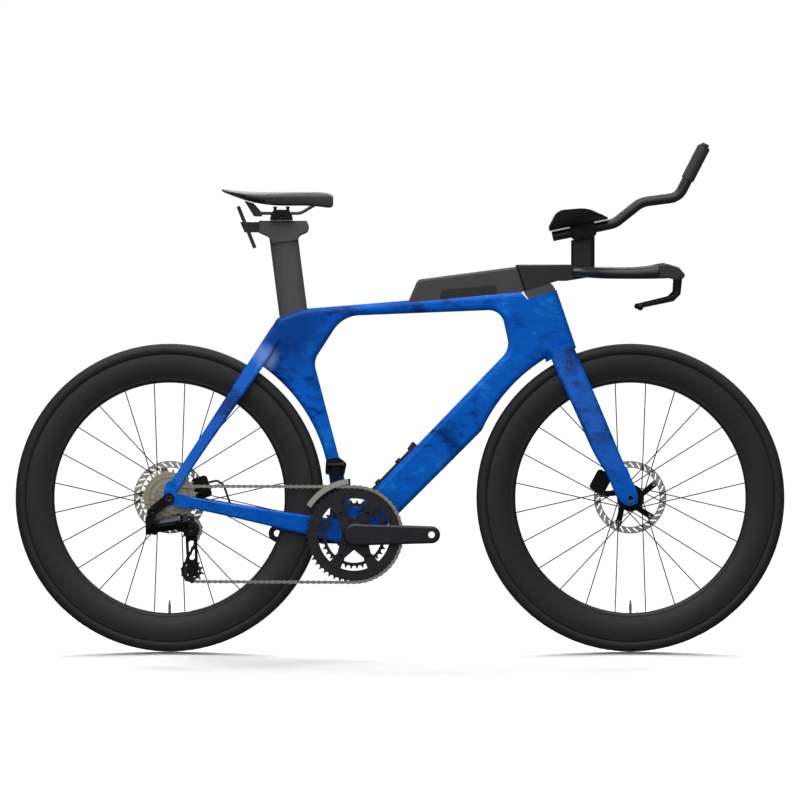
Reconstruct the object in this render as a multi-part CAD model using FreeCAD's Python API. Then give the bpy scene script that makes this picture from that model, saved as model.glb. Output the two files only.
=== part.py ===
"""Time trial bike. Millimetres; +X is forward, +Y is the rider's left, +Z is up.

The origin lies on the ground, midway between the two axles. The drive side is at -Y.
"""
import FreeCAD, Part
import math
import os

V = FreeCAD.Vector

# Stance and steering
WHEELBASE = 1014.0
BB_DROP = 80.0
HEAD_ANGLE = 72.5
FORK_RAKE = 45.0

# Tyres, rims, spokes
TYRE_RADIUS = 339.0
STAY_BEYOND_TYRE = 75.0
CHAINSTAY = TYRE_RADIUS + STAY_BEYOND_TYRE
TYRE_WIDTH = 28.0
TYRE_WALL = 2.5
RIM_BEAD_RADIUS = TYRE_RADIUS - TYRE_WIDTH
RIM_DEPTH = 62.0
RIM_WIDTH = 28.0
RIM_WALL = 2.4
SPOKES = 24
SPOKE_RADIUS = 1.15
SPOKE_CROSS_TURN = 60.0
FLANGE_RADIUS = 27.0
VALVE_LENGTH = 27.0
VALVE_RADIUS = 3.0

# Hubs, axles and brakes
FRONT_HUB_WIDTH = 100.0
REAR_HUB_WIDTH = 142.0
AXLE_RADIUS = 6.0
SLEEVE_RADIUS = 8.5
END_CAP_RADIUS = 11.5
ROTOR_RADIUS = 80.0
ROTOR_THICKNESS = 1.8
ROTOR_TRACK = 15.0
FRONT_ROTOR_INSET = 10.4
REAR_ROTOR_INSET = 15.3
CALIPER_RADIUS = 72.0
FRONT_CALIPER_ANGLE = 152.0
REAR_CALIPER_ANGLE = 17.0
PAD_GAP = 0.35
BEAD_TURN = 48.0
RIM_EDGE_RADIUS = RIM_BEAD_RADIUS + 4.0
RIM_NOSE_DEPTH = 10.0
RIM_NOSE_HALF = 9.0
RIM_BEAD_WALL = 3.2
FLANGE_THICKNESS = 3.0
HUB_RADIUS = 14.0
ROTOR_SEAT_RADIUS = 17.0
ROTOR_SLOTS = 30
ROTOR_ARMS = 5
END_CAP = 4.0
FRONT_FLANGES = (-33.0, 21.0)
REAR_FLANGES = (-16.5, 34.0)
CALIPER_HALF = 24.0
CALIPER_BRIDGE = 11.0
CALIPER_INNER = 14.0
CALIPER_OUTER = 17.0
BRAKE_PAD_THICKNESS = 3.6
PISTON_RADIUS = 10.0
PISTON_LENGTH = 7.0

# Frame
FRAME_REAR_WIDTH = 36.0
FRAME_HEAD_WIDTH = 50.0
FRAME_EDGE_ROUND = 12.0
REAR_TYRE_GAP = 15.0
FRONT_TYRE_GAP = 20.0
TYRE_SIDE_GAP = 6.0
SEATPOST_ANGLE = 82.7
SEAT_SETBACK = 134.0
SEAT_HEIGHT = 488.0
POST_CHORD = 63.0
POST_THICKNESS = 22.0
POST_WALL = 5.0
POST_WIDEST = 0.12
POST_INSERTED = 110.0
POST_SHOWN = 173.0
CROWN_RISE = 29.0
CROWN_HEIGHT = TYRE_RADIUS + CROWN_RISE
HEAD_LENGTH = 117.0
HEAD_TOP = CROWN_HEIGHT + HEAD_LENGTH
TOP_TUBE_RISE = 21.0
HEAD_FRONT = 29.0
STEERER_RADIUS = 14.3
BEARING_RADIUS = 20.9
BEARING_HEIGHT = 7.0
BB_SHELL_WIDTH = 80.0
BB_SHELL_RADIUS = 33.0
BB_BORE_RADIUS = 21.0
SPINDLE_RADIUS = 12.0
DROPOUT_THICKNESS = 8.0
CROWN_POCKET = 44.0
POCKET_DEPTH = 160.0
POCKET_REACH = 120.0
CROWN_RADIUS = 42.5
SEAT_STAY_TOP_DEPTH = 32.0
SEAT_STAY_FOOT_DEPTH = 24.0
SEAT_STAY_FOOT = 17.0
STAY_THICKNESS = 15.0
CHAINSTAY_ROOT_DEPTH = 52.0
DROPOUT_RADIUS = 14.0
POST_TRAVEL = 45.0
WEDGE_HEIGHT = 34.0
WEDGE_LENGTH = 9.0
WEDGE_WIDTH = 14.0
BOTTLE_PLACE = 0.17
BOTTLE_SPACING = 64.0
BOTTLE_THREAD_RADIUS = 2.5
BOTTLE_THREAD_DEPTH = 14.0
BOLT_CLEARANCE = 0.6
CUP_DEPTH = 22.0
CUP_FLANGE = 3.5
CUP_FLANGE_RADIUS = 24.0
COVER_TOP = HEAD_TOP + 18.0

# Box and bottle rail
BOX_HEEL = 47.0
BOX_FRONT = 38.0
BOX_FRONT_RISE = 75.0
BOX_LENGTH = 252.0
BOX_WIDTH = 38.0
BOX_REAR_HEIGHT = 44.0
BOX_EDGE_ROUND = 6.0
BOX_BASE_REAR = 182.0
BOX_BASE_FRONT = 54.0
BOX_BASE_HEIGHT = 17.0
RAIL_OVERHANG = 24.0
RAIL_HEIGHT = 6.0
RAIL_WIDTH = 18.0

# Saddle and number holder
POST_HEAD_WIDTH = 32.0
HOLDER_THICKNESS = 8.0
HOLDER_WIDTH = 40.0
SADDLE_RAIL_RADIUS = 3.5
SADDLE_RAIL_SPREAD = 22.0
SADDLE_BASE_SHARE = 0.72
STRUT_WIDTH = 12.0
# Along the saddle: place, top, bottom, half width and the drop from the crown to the edge
SADDLE_SECTIONS = ((-136, 70.0, 66.0, 34.0, 2.0), (-118, 68.5, 57.0, 58.0, 4.0), (-84, 65.5, 44.0, 66.0, 7.0),
                   (-40, 64.5, 34.0, 56.0, 9.0), (10, 65.0, 32.0, 36.0, 8.0), (56, 65.0, 34.0, 27.0, 7.0),
                   (88, 63.5, 30.0, 24.0, 6.5), (102, 59.5, 28.5, 20.0, 5.5), (110, 54.0, 34.0, 13.0, 4.0))

# Fork and cockpit
# Along the fork leg: share of the crown's height, lead and half chord across the steering axis, depth, half
# thickness
LEG_SECTIONS = ((0.995, -2.0, 27.0, 25.0, 9.0), (0.897, 0.0, 28.5, 27.5, 8.5), (0.639, 11.5, 27.5, 37.0, 8.5),
                (0.253, 27.5, 24.5, 50.0, 8.0), (0.095, 37.0, 23.0, 55.0, 7.0), (0.0, 41.0, 20.5, 56.0, 6.0),
                (-0.041, 45.0, 11.0, 56.0, 5.0))
FORK_TIP_RADIUS = 14.0
FORK_TIP_THICKNESS = 11.0
CROWN_DEPTH = 42.0
CROWN_HALF_WIDTH = 34.0
CROWN_TYRE_GAP = 12.0
STEERER_TOP = HEAD_TOP + 60.0
STEM_RISE = 64.0
STEM_REAR = 44.0
STEM_WIDTH = 46.0
BAR_REACH = 84.0
# Along the base bar: lead, depth, rise, turn towards the front, half chord and half height
BAR_SECTIONS = ((0.0, 0.0, 0.0, 0.0, 28.0, 11.0), (4.0, 70.0, 0.0, 8.0, 27.0, 11.0),
                (16.0, 130.0, -1.0, 20.0, 25.0, 11.5),
                (44.0, 174.0, -2.0, 48.0, 22.0, 12.0), (86.0, 197.0, -2.5, 75.0, 17.0, 12.0),
                (124.0, 203.0, -2.0, 90.0, 15.5, 12.5), (163.0, 203.0, 1.0, 90.0, 16.5, 15.0))
LEVER_PIVOT_OFFSET = (46.0, 0.0, -11.0)
BRACKET_WIDTH = 26.0
LEVER_WIDTH = 9.0
LEVER_BOSS = 6.0
LEVER_PIN = 2.5
RISER_HEIGHT = 62.0
RISER_LENGTH = 52.0
RISER_WIDTH = 34.0
EXT_ANGLE = 11.7
EXT_SPREAD = 50.0
EXT_RADIUS = 11.0
EXT_BENDS = (45.0, 55.0, 36.0)
CLAMP_HALF = 17.0
CLAMP_TOP = 19.0
GRIP_LENGTH = 82.0
GRIP_RADIUS = 13.5
BUTTON_RADIUS = 8.0
BUTTON_DEPTH = 12.0
BUTTON_PROUD = 6.0
BUTTON_TRAVEL = 1.5
CUP_RADIUS = 52.0
CUP_WALL = 3.0
CUP_LIFT = 1.5
CUP_SPREAD = 74.0
PAD_THICKNESS = 9.0

# Drivetrain
CHAIN_PITCH = 12.7
ROLLER_RADIUS = 3.8
CRANK_LENGTH = 170.0
CHAINLINE = 48.0
RING_SPACING = 7.0
OUTER_TEETH = 52
INNER_TEETH = 36
COGS = (11, 12, 13, 14, 15, 16, 17, 19, 21, 24, 27, 30)
COG_PITCH = 3.58
COG_THICKNESS = 1.6
SMALLEST_COG_OFFSET = 63.0
CHAIN_COG = 2
PULLEY_TEETH = 11
PEDAL_THREAD_RADIUS = 7.14
CRANK_THICKNESS = 13.0
CRANK_OFFSET = 58.0
TOOTH_CLEARANCE = 0.3
TOOTH_RISE = 3.1
TOOTH_TIP = 1.3
SEAT_SPREAD = 70.0
GUIDE_AHEAD = 48.0
GUIDE_BELOW = 67.5
CAGE_LENGTH = 93.0
CAGE_TURN = -90.0
LINK_RADIUS = 4.1
LINK_WAIST = 2.7
LINK_NECK_TURN = 50.0
LINK_INSIDE = 1.1
LINK_PLATE = 0.7
LINK_PIN = 1.8
RUN_IN_LINE = 0.1
SPIDER_TURN = 58.0
SPIDER_RADIUS = 55.0
RING_THICKNESS = 1.6
RING_BOLT_RADIUS = 4.5
OUTER_RING_BAND = 26.0
INNER_RING_BAND = 11.0
CRANK_ROOT_RADIUS = 24.0
CRANK_TIP_RADIUS = 19.0
FREEHUB_RADIUS = 17.2

# Derailleurs and hose
DERAILLEUR_SLANT = 47.0
DERAILLEUR_REST = -12.0
DERAILLEUR_LINK = 55.0
PIN_SPACING = 16.0
LINK_HEIGHT = 16.0
LINK_PIVOT_RADIUS = 2.5
EAR_RADIUS = 7.5
EAR_THICKNESS = 4.0
WEB_DEPTH = 11.0
OUTER_LINK_HALF = 6.0
INNER_LINK_HALF = 5.0
HANGER_BACK = 36.0
HANGER_DROP = 28.0
HANGER_THICKNESS = 6.0
HANGER_BOLT_RADIUS = 5.0
KNUCKLE_RADIUS = 15.0
CAGE_PIVOT_RADIUS = 5.0
CAGE_HALF = 6.2
CAGE_PLATE = 1.6
PULLEY_PIN = 2.5
FD_PIVOT_BACK = 40.0
FD_PIVOT_RISE = 152.0
FD_PIVOT_OUT = 45.0
FD_BARREL = 24.0
FD_CAGE_HALF = 6.0
FD_HOUSING_GAP = 9.0
FD_CAGE_HEIGHT = 15.0
FD_PLATE = 1.4
HOSE_RADIUS = 2.5
HOSE_PORT = 0.31

# Running and seating clearances
RUN = 0.06
SEAT = 0.1
FREE = 0.3


AXLE_Z = TYRE_RADIUS
REAR_X = -WHEELBASE / 2
FRONT_X = WHEELBASE / 2
BB_X = REAR_X + math.sqrt(CHAINSTAY ** 2 - BB_DROP ** 2)
BB_Z = AXLE_Z - BB_DROP
TILT = math.radians(HEAD_ANGLE)
STEER_UP = V(-math.cos(TILT), 0, math.sin(TILT))
STEER_AHEAD = V(math.sin(TILT), 0, math.cos(TILT))
STEER_FOOT = V(FRONT_X, 0, AXLE_Z) - STEER_AHEAD * FORK_RAKE
LEAN = math.radians(SEATPOST_ANGLE)
POST_UP = V(-math.cos(LEAN), 0, math.sin(LEAN))
POST_AHEAD = V(math.sin(LEAN), 0, math.cos(LEAN))
POST_FOOT = V(BB_X - SEAT_SETBACK, 0, BB_Z + SEAT_HEIGHT)
Y_AXIS = V(0, 1, 0)


def head(up, ahead, y=0.0):
    """A point measured along the steering axis and ahead of it."""
    return STEER_FOOT + STEER_UP * up + STEER_AHEAD * ahead + V(0, y, 0)


def post(up, ahead, y=0.0):
    """A point measured along the seatpost from the top of the frame, and ahead of its centre line."""
    return POST_FOOT + POST_UP * up + POST_AHEAD * ahead + V(0, y, 0)


def bb(dx, dz, y=0.0):
    return V(BB_X + dx, y, BB_Z + dz)


def rear(dx, dz, y=0.0):
    return V(REAR_X + dx, y, AXLE_Z + dz)


def front(dx, dz, y=0.0):
    return V(FRONT_X + dx, y, AXLE_Z + dz)


def polar(centre, radius, degrees, y=0.0):
    turn = math.radians(degrees)
    return V(centre.x + radius * math.cos(turn), y, centre.z + radius * math.sin(turn))


def outline(corners):
    """A closed wire of straight sides joined by tangent arcs. Each corner is a point and its radius."""
    edges = []
    last = None
    first = None
    count = len(corners)
    for i, (point, radius) in enumerate(corners):
        back = (corners[i - 1][0] - point).normalize()
        onward = (corners[(i + 1) % count][0] - point).normalize()
        half = back.getAngle(onward) / 2
        reach = radius / math.tan(half)
        start = point + back * reach
        end = point + onward * reach
        if last is None:
            first = start
        elif last.distanceToPoint(start) > 1e-6:
            edges.append(Part.makeLine(last, start))
        if radius > 0:
            middle = point + (back + onward).normalize() * (radius / math.sin(half) - radius)
            edges.append(Part.Arc(start, middle, end).toShape())
        last = end
    if last.distanceToPoint(first) > 1e-6:
        edges.append(Part.makeLine(last, first))
    return Part.Wire(edges)


def plate(corners, y_from, y_to):
    """A flat piece with a rounded side outline, between two depths."""
    raised = [(V(p.x, y_from, p.z), r) for p, r in corners]
    return Part.Face(outline(raised)).extrude(V(0, y_to - y_from, 0))


def rod(start, end, radius):
    return Part.makeCylinder(radius, start.distanceToPoint(end), start, end - start)


def disc(centre, radius, y_from, y_to):
    return rod(V(centre.x, y_from, centre.z), V(centre.x, y_to, centre.z), radius)


def ring(centre, outer, inner, y_from, y_to):
    return disc(centre, outer, y_from, y_to).cut(disc(centre, inner, y_from - 1, y_to + 1))


def turned(centre, profile):
    """A body turned about the axle line through centre. The profile is radius and depth pairs."""
    points = [V(centre.x, y, centre.z + radius) for radius, y in profile]
    wire = Part.makePolygon(points + [points[0]])
    return Part.Face(wire).revolve(V(centre.x, 0, centre.z), Y_AXIS, 360)


def oval(centre, long_way, short_way):
    """An elliptical wire from its centre and its two half axes, the longer first."""
    return Part.Wire(Part.Ellipse(centre + long_way, centre + short_way, centre).toShape())


def loft(wires):
    return Part.makeLoft(wires, True, False)


def mirrored(shape):
    """The same piece on the other side of the bike."""
    return shape.mirror(V(0, 0, 0), Y_AXIS)


def slab(low, high):
    size = high - low
    return Part.makeBox(size.x, size.y, size.z, low)


def fuse(first, *others):
    return first.fuse(list(others)).removeSplitter()


def capsule(start, end, start_radius, end_radius, y_from, y_to):
    """A flat lever between two round ends of different radius."""
    along = end - start
    length = along.Length
    aim = math.atan2(along.z, along.x)
    spread = math.acos((start_radius - end_radius) / length)
    corners = []
    for centre, radius, side in ((start, start_radius, 1), (end, end_radius, 1),
                                 (end, end_radius, -1), (start, start_radius, -1)):
        turn = aim + side * spread
        corners.append(V(centre.x + radius * math.cos(turn), y_from, centre.z + radius * math.sin(turn)))
    tip = end + along * (end_radius / length)
    tail = start - along * (start_radius / length)
    edges = [Part.makeLine(corners[0], corners[1]),
             Part.Arc(corners[1], V(tip.x, y_from, tip.z), corners[2]).toShape(),
             Part.makeLine(corners[2], corners[3]),
             Part.Arc(corners[3], V(tail.x, y_from, tail.z), corners[0]).toShape()]
    return Part.Face(Part.Wire(edges)).extrude(V(0, y_to - y_from, 0))


def rounded_section(centre, long_way, short_way, radius):
    """A rounded rectangle from its centre and its two half axes."""
    corners = [centre + long_way + short_way, centre - long_way + short_way,
               centre - long_way - short_way, centre + long_way - short_way]
    return outline([(c, radius) for c in corners])


REAR_AXLE = rear(0, 0)
FRONT_AXLE = front(0, 0)
BB = bb(0, 0)
TYRE_SLOT = TYRE_WIDTH / 2 + TYRE_SIDE_GAP
REAR_FACE = REAR_HUB_WIDTH / 2
FRONT_FACE = FRONT_HUB_WIDTH / 2


# Frame

SEAT_CORNER = post(-8, -POST_CHORD / 2 - POST_WALL)
TOP_FRONT = head(HEAD_TOP + TOP_TUBE_RISE, -48)
CROWN_TOP = CROWN_HEIGHT - FREE
# Ends of the down tube's upper edge
DOWN_TUBE_LOW = bb(-2, 50)
DOWN_TUBE_HIGH = head(CROWN_HEIGHT + 24, -110)


def frame_side_outline():
    """The main tubes in side view, before the wheel arcs, head notch and crown pocket are cut."""
    return [
        (SEAT_CORNER, FRAME_EDGE_ROUND + 2),
        (post(5, 22), 60),
        (TOP_FRONT, 200),
        (head(HEAD_TOP + 14, HEAD_FRONT - 2), FRAME_EDGE_ROUND + 2),
        (head(CROWN_HEIGHT - 40, HEAD_FRONT + 2), 0),
        (head(CROWN_HEIGHT - 59, -89), 0),
        (bb(19, -34), 40),
        (bb(-30, -34), 30),
        (rear(CHAINSTAY * 0.62, 60), 60),
        (REAR_AXLE + (SEAT_CORNER - REAR_AXLE) * 0.52, 20),
    ]


def main_opening_outline():
    """The open triangle between the seat tube, the top tube and the down tube."""
    return [
        (DOWN_TUBE_LOW, 14),
        (post(-112, 31), 40),
        (post(-22, 107), 70),
        (head(HEAD_TOP - 5, -102), 34),
        (DOWN_TUBE_HIGH, 40),
    ]


def frame_wedge():
    """The frame in plan view, widening from the seat tube to the head tube."""
    x_rear = POST_FOOT.x - 200
    x_head = head(HEAD_TOP, HEAD_FRONT).x + 80
    slope = (FRAME_HEAD_WIDTH - FRAME_REAR_WIDTH) / 2 / (head(HEAD_TOP, 0).x - POST_FOOT.x)
    half_rear = FRAME_REAR_WIDTH / 2 + slope * (x_rear - POST_FOOT.x)
    half_head = FRAME_REAR_WIDTH / 2 + slope * (x_head - POST_FOOT.x)
    corners = [V(x_rear, -half_rear, 0), V(x_head, -half_head, 0), V(x_head, half_head, 0),
               V(x_rear, half_rear, 0)]
    face = Part.Face(Part.makePolygon(corners + [corners[0]]))
    return face.extrude(V(0, 0, post(60, 0).z))


def corner_edges(body):
    """The edges across the body where its side outline turns a sharp corner."""
    found = []
    for edge in body.Edges:
        box = edge.BoundBox
        if box.XLength + box.ZLength < 0.01:
            middle = edge.valueAt((edge.FirstParameter + edge.LastParameter) / 2)
            normals = [f.normalAt(*f.Surface.parameter(middle))
                       for f in body.ancestorsOfType(edge, Part.Face)]
            if normals[0].getAngle(normals[1]) > 0.05:
                found.append(edge)
    return found


def side_edges(body):
    """The edges round the two broad sides of the body."""
    return [e for e in body.Edges if e.BoundBox.XLength + e.BoundBox.ZLength > 0.01]


def rounded(body, radius, pick):
    """Rounds the picked edges, by the largest share of the radius that the corners leave room for."""
    for share in (1.0, 0.9, 0.8, 0.7, 0.5):
        try:
            made = body.makeFillet(radius * share, pick(body))
        except Part.OCCError:
            continue
        if made.isValid() and len(made.Solids) == 1:
            return made
    return body


def main_tubes():
    side = Part.Face(outline(frame_side_outline()))
    side = side.cut(Part.Face(outline(main_opening_outline())))
    depth = V(0, FRAME_HEAD_WIDTH, 0)
    body = side.extrude(depth * 2)
    body.translate(depth * -1)
    body = body.cut(disc(REAR_AXLE, TYRE_RADIUS + REAR_TYRE_GAP, -90, 90))
    body = body.cut(disc(FRONT_AXLE, TYRE_RADIUS + FRONT_TYRE_GAP, -90, 90))
    body = rounded(body, FRAME_EDGE_ROUND + 2, corner_edges)
    return rounded(body.common(frame_wedge()), FRAME_EDGE_ROUND, side_edges)


def stay_sections(stations):
    """A stay lofted through rounded sections: centre, half depth, half thickness, depth direction."""
    wires = []
    for centre, depth, thickness, deep_way in stations:
        wires.append(rounded_section(centre, deep_way * depth, Y_AXIS * thickness, thickness * 0.8))
    return loft(wires)


def seat_stay():
    """The right seat stay, straight along its rear edge and spread round the tyre."""
    top = SEAT_CORNER
    foot = rear(-SEAT_STAY_FOOT, 4)
    along = foot - top
    across = V(-along.z, 0, along.x).normalize()
    at_tyre = TYRE_SLOT + STAY_THICKNESS / 2 + 0.5
    at_axle = REAR_FACE + DROPOUT_THICKNESS / 2
    stations = []
    for share, y, depth, thickness in ((0.05, 8.0, SEAT_STAY_TOP_DEPTH, STAY_THICKNESS),
                                       (0.23, at_tyre, SEAT_STAY_TOP_DEPTH, STAY_THICKNESS),
                                       (0.60, (at_tyre + at_axle) / 2, 26.0, STAY_THICKNESS - 2),
                                       (0.97, at_axle, SEAT_STAY_FOOT_DEPTH, DROPOUT_THICKNESS)):
        centre = top + along * share + across * (depth / 2) - Y_AXIS * y
        stations.append((centre, depth / 2, thickness / 2, across))
    return stay_sections(stations)


def chainstay_point(share, y):
    """A point on the right chainstay's centre line, from the rear axle at 0 to the crank axis at 1."""
    return REAR_AXLE + (BB - REAR_AXLE) * share - Y_AXIS * y


def chainstay():
    up = V(0, 0, 1)
    at_tyre = TYRE_SLOT + STAY_THICKNESS / 2
    at_axle = REAR_FACE + DROPOUT_THICKNESS / 2
    stations = []
    for share, y, depth, thickness in ((0.05, at_axle, 25.0, DROPOUT_THICKNESS),
                                       (0.25, at_axle - 8, 26.5, STAY_THICKNESS - 4),
                                       (0.50, (at_tyre + at_axle) / 2, 34.0, STAY_THICKNESS - 2),
                                       (0.74, at_tyre + 1, 43.0, STAY_THICKNESS - 1),
                                       (0.98, at_tyre - 8, CHAINSTAY_ROOT_DEPTH, STAY_THICKNESS + 4)):
        stations.append((chainstay_point(share, y), depth / 2, thickness / 2, up))
    return stay_sections(stations)


def dropout():
    inner = -REAR_FACE
    outer = inner - DROPOUT_THICKNESS
    to_chainstay = capsule(REAR_AXLE, chainstay_point(0.1, 0), DROPOUT_RADIUS, 12.5, outer, inner)
    to_seat_stay = capsule(REAR_AXLE, rear(4, 26), DROPOUT_RADIUS, 12.0, outer, inner)
    return fuse(to_chainstay, to_seat_stay)


def post_section(up, spare):
    """The seatpost's outline at one height: two half ellipses, short at the nose and long at the tail."""
    half = POST_CHORD / 2 + spare
    widest = POST_CHORD * POST_WIDEST
    centre = post(up, widest)
    side = centre + Y_AXIS * (POST_THICKNESS / 2 + spare)
    edges = []
    for way in (half - widest, -half - widest):
        curve = Part.Ellipse(centre + POST_AHEAD * way, side, centre)
        edges.append(Part.ArcOfEllipse(curve, -math.pi / 2, math.pi / 2).toShape())
    return Part.Wire(edges)


def post_prism(low, high, spare=0.0):
    return Part.Face(post_section(low, spare)).extrude(POST_UP * (high - low))


def seat_wedge_space(spare):
    """The space ahead of the seatpost that its clamp wedge fills."""
    gap = SEAT
    low = POST_CHORD / 2 + gap + 0.2 - spare
    corners = [post(-WEDGE_HEIGHT - spare, low), post(-WEDGE_HEIGHT - spare, low + WEDGE_LENGTH + 2 * spare),
               post(14, low + WEDGE_LENGTH + 2 * spare), post(14, low)]
    half = WEDGE_WIDTH / 2 + spare
    return plate([(c, 0) for c in corners], -half, half)


def head_notch():
    """The space above the head tube, where the headset cover and the stem sit."""
    corners = [head(HEAD_TOP, -40), head(HEAD_TOP, 90), head(HEAD_TOP + 80, 90), head(HEAD_TOP + 80, -76)]
    return plate([(c, 0) for c in corners], -FRAME_HEAD_WIDTH, FRAME_HEAD_WIDTH)


def crown_pocket():
    """The space that the fork crown turns in, below the head tube."""
    low = CROWN_HEIGHT - POCKET_DEPTH
    turning = rod(head(low, 0), head(CROWN_HEIGHT, 0), CROWN_POCKET)
    ahead = [head(low, 0), head(low, POCKET_REACH), head(CROWN_HEIGHT, POCKET_REACH), head(CROWN_HEIGHT, 0)]
    return turning.fuse(plate([(c, 0) for c in ahead], -FRAME_HEAD_WIDTH, FRAME_HEAD_WIDTH))


def down_tube_top(share):
    """A point on the upper edge of the down tube, from the crank at 0 to the head tube at 1."""
    return DOWN_TUBE_LOW + (DOWN_TUBE_HIGH - DOWN_TUBE_LOW) * share


DOWN_TUBE_WAY = (down_tube_top(1) - down_tube_top(0)).normalize()
DOWN_TUBE_OUT = V(-DOWN_TUBE_WAY.z, 0, DOWN_TUBE_WAY.x)
BOTTLE_BOSSES = [down_tube_top(BOTTLE_PLACE), down_tube_top(BOTTLE_PLACE) + DOWN_TUBE_WAY * BOTTLE_SPACING]


def frame():
    right = fuse(chainstay(), seat_stay(), dropout())
    shell = disc(BB, BB_SHELL_RADIUS, -BB_SHELL_WIDTH / 2, BB_SHELL_WIDTH / 2)
    body = main_tubes().fuse([right, mirrored(right), shell])
    cuts = [disc(REAR_AXLE, TYRE_RADIUS + REAR_TYRE_GAP, -TYRE_SLOT, TYRE_SLOT),
            disc(REAR_AXLE, AXLE_RADIUS + SEAT, -100, 100),
            disc(REAR_AXLE, END_CAP_RADIUS + FREE, -REAR_FACE, REAR_FACE),
            disc(REAR_AXLE, AXLE_RADIUS + 4, REAR_FACE + DROPOUT_THICKNESS, 100),
            post_prism(-POST_INSERTED - POST_TRAVEL, 60, SEAT),
            seat_wedge_space(0),
            head_notch(),
            crown_pocket(),
            rod(head(CROWN_HEIGHT - 10, 0), head(HEAD_TOP + 10, 0), STEERER_RADIUS + 2),
            rod(head(CROWN_HEIGHT - 10, 0), head(CROWN_HEIGHT + BEARING_HEIGHT + FREE, 0),
                BEARING_RADIUS + SEAT / 2),
            rod(head(HEAD_TOP - BEARING_HEIGHT - FREE, 0), head(HEAD_TOP + 10, 0), BEARING_RADIUS + SEAT / 2),
            disc(BB, BB_BORE_RADIUS, -BB_SHELL_WIDTH, BB_SHELL_WIDTH)]
    for boss in BOTTLE_BOSSES:
        cuts.append(rod(boss + DOWN_TUBE_OUT * 5, boss - DOWN_TUBE_OUT * BOTTLE_THREAD_DEPTH,
                        BOTTLE_THREAD_RADIUS))
    return body.cut(cuts).removeSplitter()


def seat_wedge():
    return seat_wedge_space(-SEAT).common(frame_top_limit())


def frame_top_limit():
    """Everything below the top of the seat cluster."""
    return plate([(post(-90, -90), 0), (post(-90, 90), 0), (post(0, 90), 0), (post(-3, -90), 0)], -60, 60)


def frame_bearings():
    """Headset bearings and crank bearing cups, pressed into the frame."""
    lower = rod(head(CROWN_HEIGHT + FREE, 0), head(CROWN_HEIGHT + BEARING_HEIGHT, 0), BEARING_RADIUS)
    upper = rod(head(HEAD_TOP - BEARING_HEIGHT, 0), head(HEAD_TOP, 0), BEARING_RADIUS)
    bore = rod(head(CROWN_HEIGHT - 20, 0), head(HEAD_TOP + 20, 0), STEERER_RADIUS + RUN)
    cups = []
    for side in (-1, 1):
        face = side * BB_SHELL_WIDTH / 2
        sleeve = disc(BB, BB_BORE_RADIUS - SEAT / 2, face - side * CUP_DEPTH, face)
        flange = disc(BB, CUP_FLANGE_RADIUS, face + side * SEAT, face + side * CUP_FLANGE)
        joined = fuse(sleeve, flange, disc(BB, BB_BORE_RADIUS - 3, face - side, face + side))
        cups.append(joined.cut(disc(BB, SPINDLE_RADIUS + RUN, -100, 100)))
    return Part.makeCompound([lower.cut(bore), upper.cut(bore)] + cups)


def headset_cover():
    corners = [(head(HEAD_TOP + SEAT, -38), 3), (head(HEAD_TOP + SEAT, HEAD_FRONT - 3), 3),
               (head(COVER_TOP, HEAD_FRONT - 8), 6), (head(COVER_TOP, -44), 3)]
    half = FRAME_HEAD_WIDTH / 2 - 2
    body = plate(corners, -half, half)
    return body.cut(rod(head(HEAD_TOP - 9, 0), head(COVER_TOP + 9, 0), STEERER_RADIUS + 1))


# Top tube box and bottle rail

def top_tube_line(x, above):
    """A point above the top tube's upper edge."""
    low = post(5, 22)
    share = (x - low.x) / (TOP_FRONT.x - low.x)
    return V(x, 0, low.z + (TOP_FRONT.z - low.z) * share + above)


def box_outline():
    heel = head(HEAD_TOP + TOP_TUBE_RISE, -BOX_HEEL)
    step = COVER_TOP + FREE
    front_top = head(HEAD_TOP + BOX_FRONT_RISE, -BOX_FRONT)
    tail = top_tube_line(heel.x - BOX_LENGTH, -10)
    back_top = top_tube_line(tail.x + 24, BOX_REAR_HEIGHT)
    return [(heel - V(0, 0, 12), 0), (head(step, -BOX_HEEL), 0), (head(step, -BOX_FRONT), 0), (front_top, 3),
            (back_top, 14), (tail, 0)]


def stem_room():
    """The round space about the steering axis that the stem's rear turns in."""
    return rod(head(HEAD_TOP, 0), head(HEAD_TOP + 160, 0), STEM_REAR + 2 * FREE)


def box_base_outline(spare):
    x_from = TOP_FRONT.x - BOX_BASE_REAR - spare
    x_to = TOP_FRONT.x - BOX_BASE_FRONT + spare
    high = BOX_BASE_HEIGHT + spare
    return [(top_tube_line(x_from, -12), 0), (top_tube_line(x_to, -12), 0),
            (top_tube_line(x_to, high), 2), (top_tube_line(x_from + 8, high), 6)]


def top_tube_box(frame_body):
    half = BOX_WIDTH / 2
    shell = plate(box_outline(), -half, half)
    shell = shell.makeFillet(BOX_EDGE_ROUND, [e for e in shell.Edges if e.CenterOfMass.z > top_tube_line(
        e.CenterOfMass.x, 14).z and abs(e.CenterOfMass.y) > half - 1])
    whole = shell.cut(plate(box_base_outline(SEAT), -half - 1, half + 1))
    base = shell.common(plate(box_base_outline(0), -half - 1, half + 1))
    return whole.cut([frame_body, stem_room()]), base.cut(frame_body)


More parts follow.
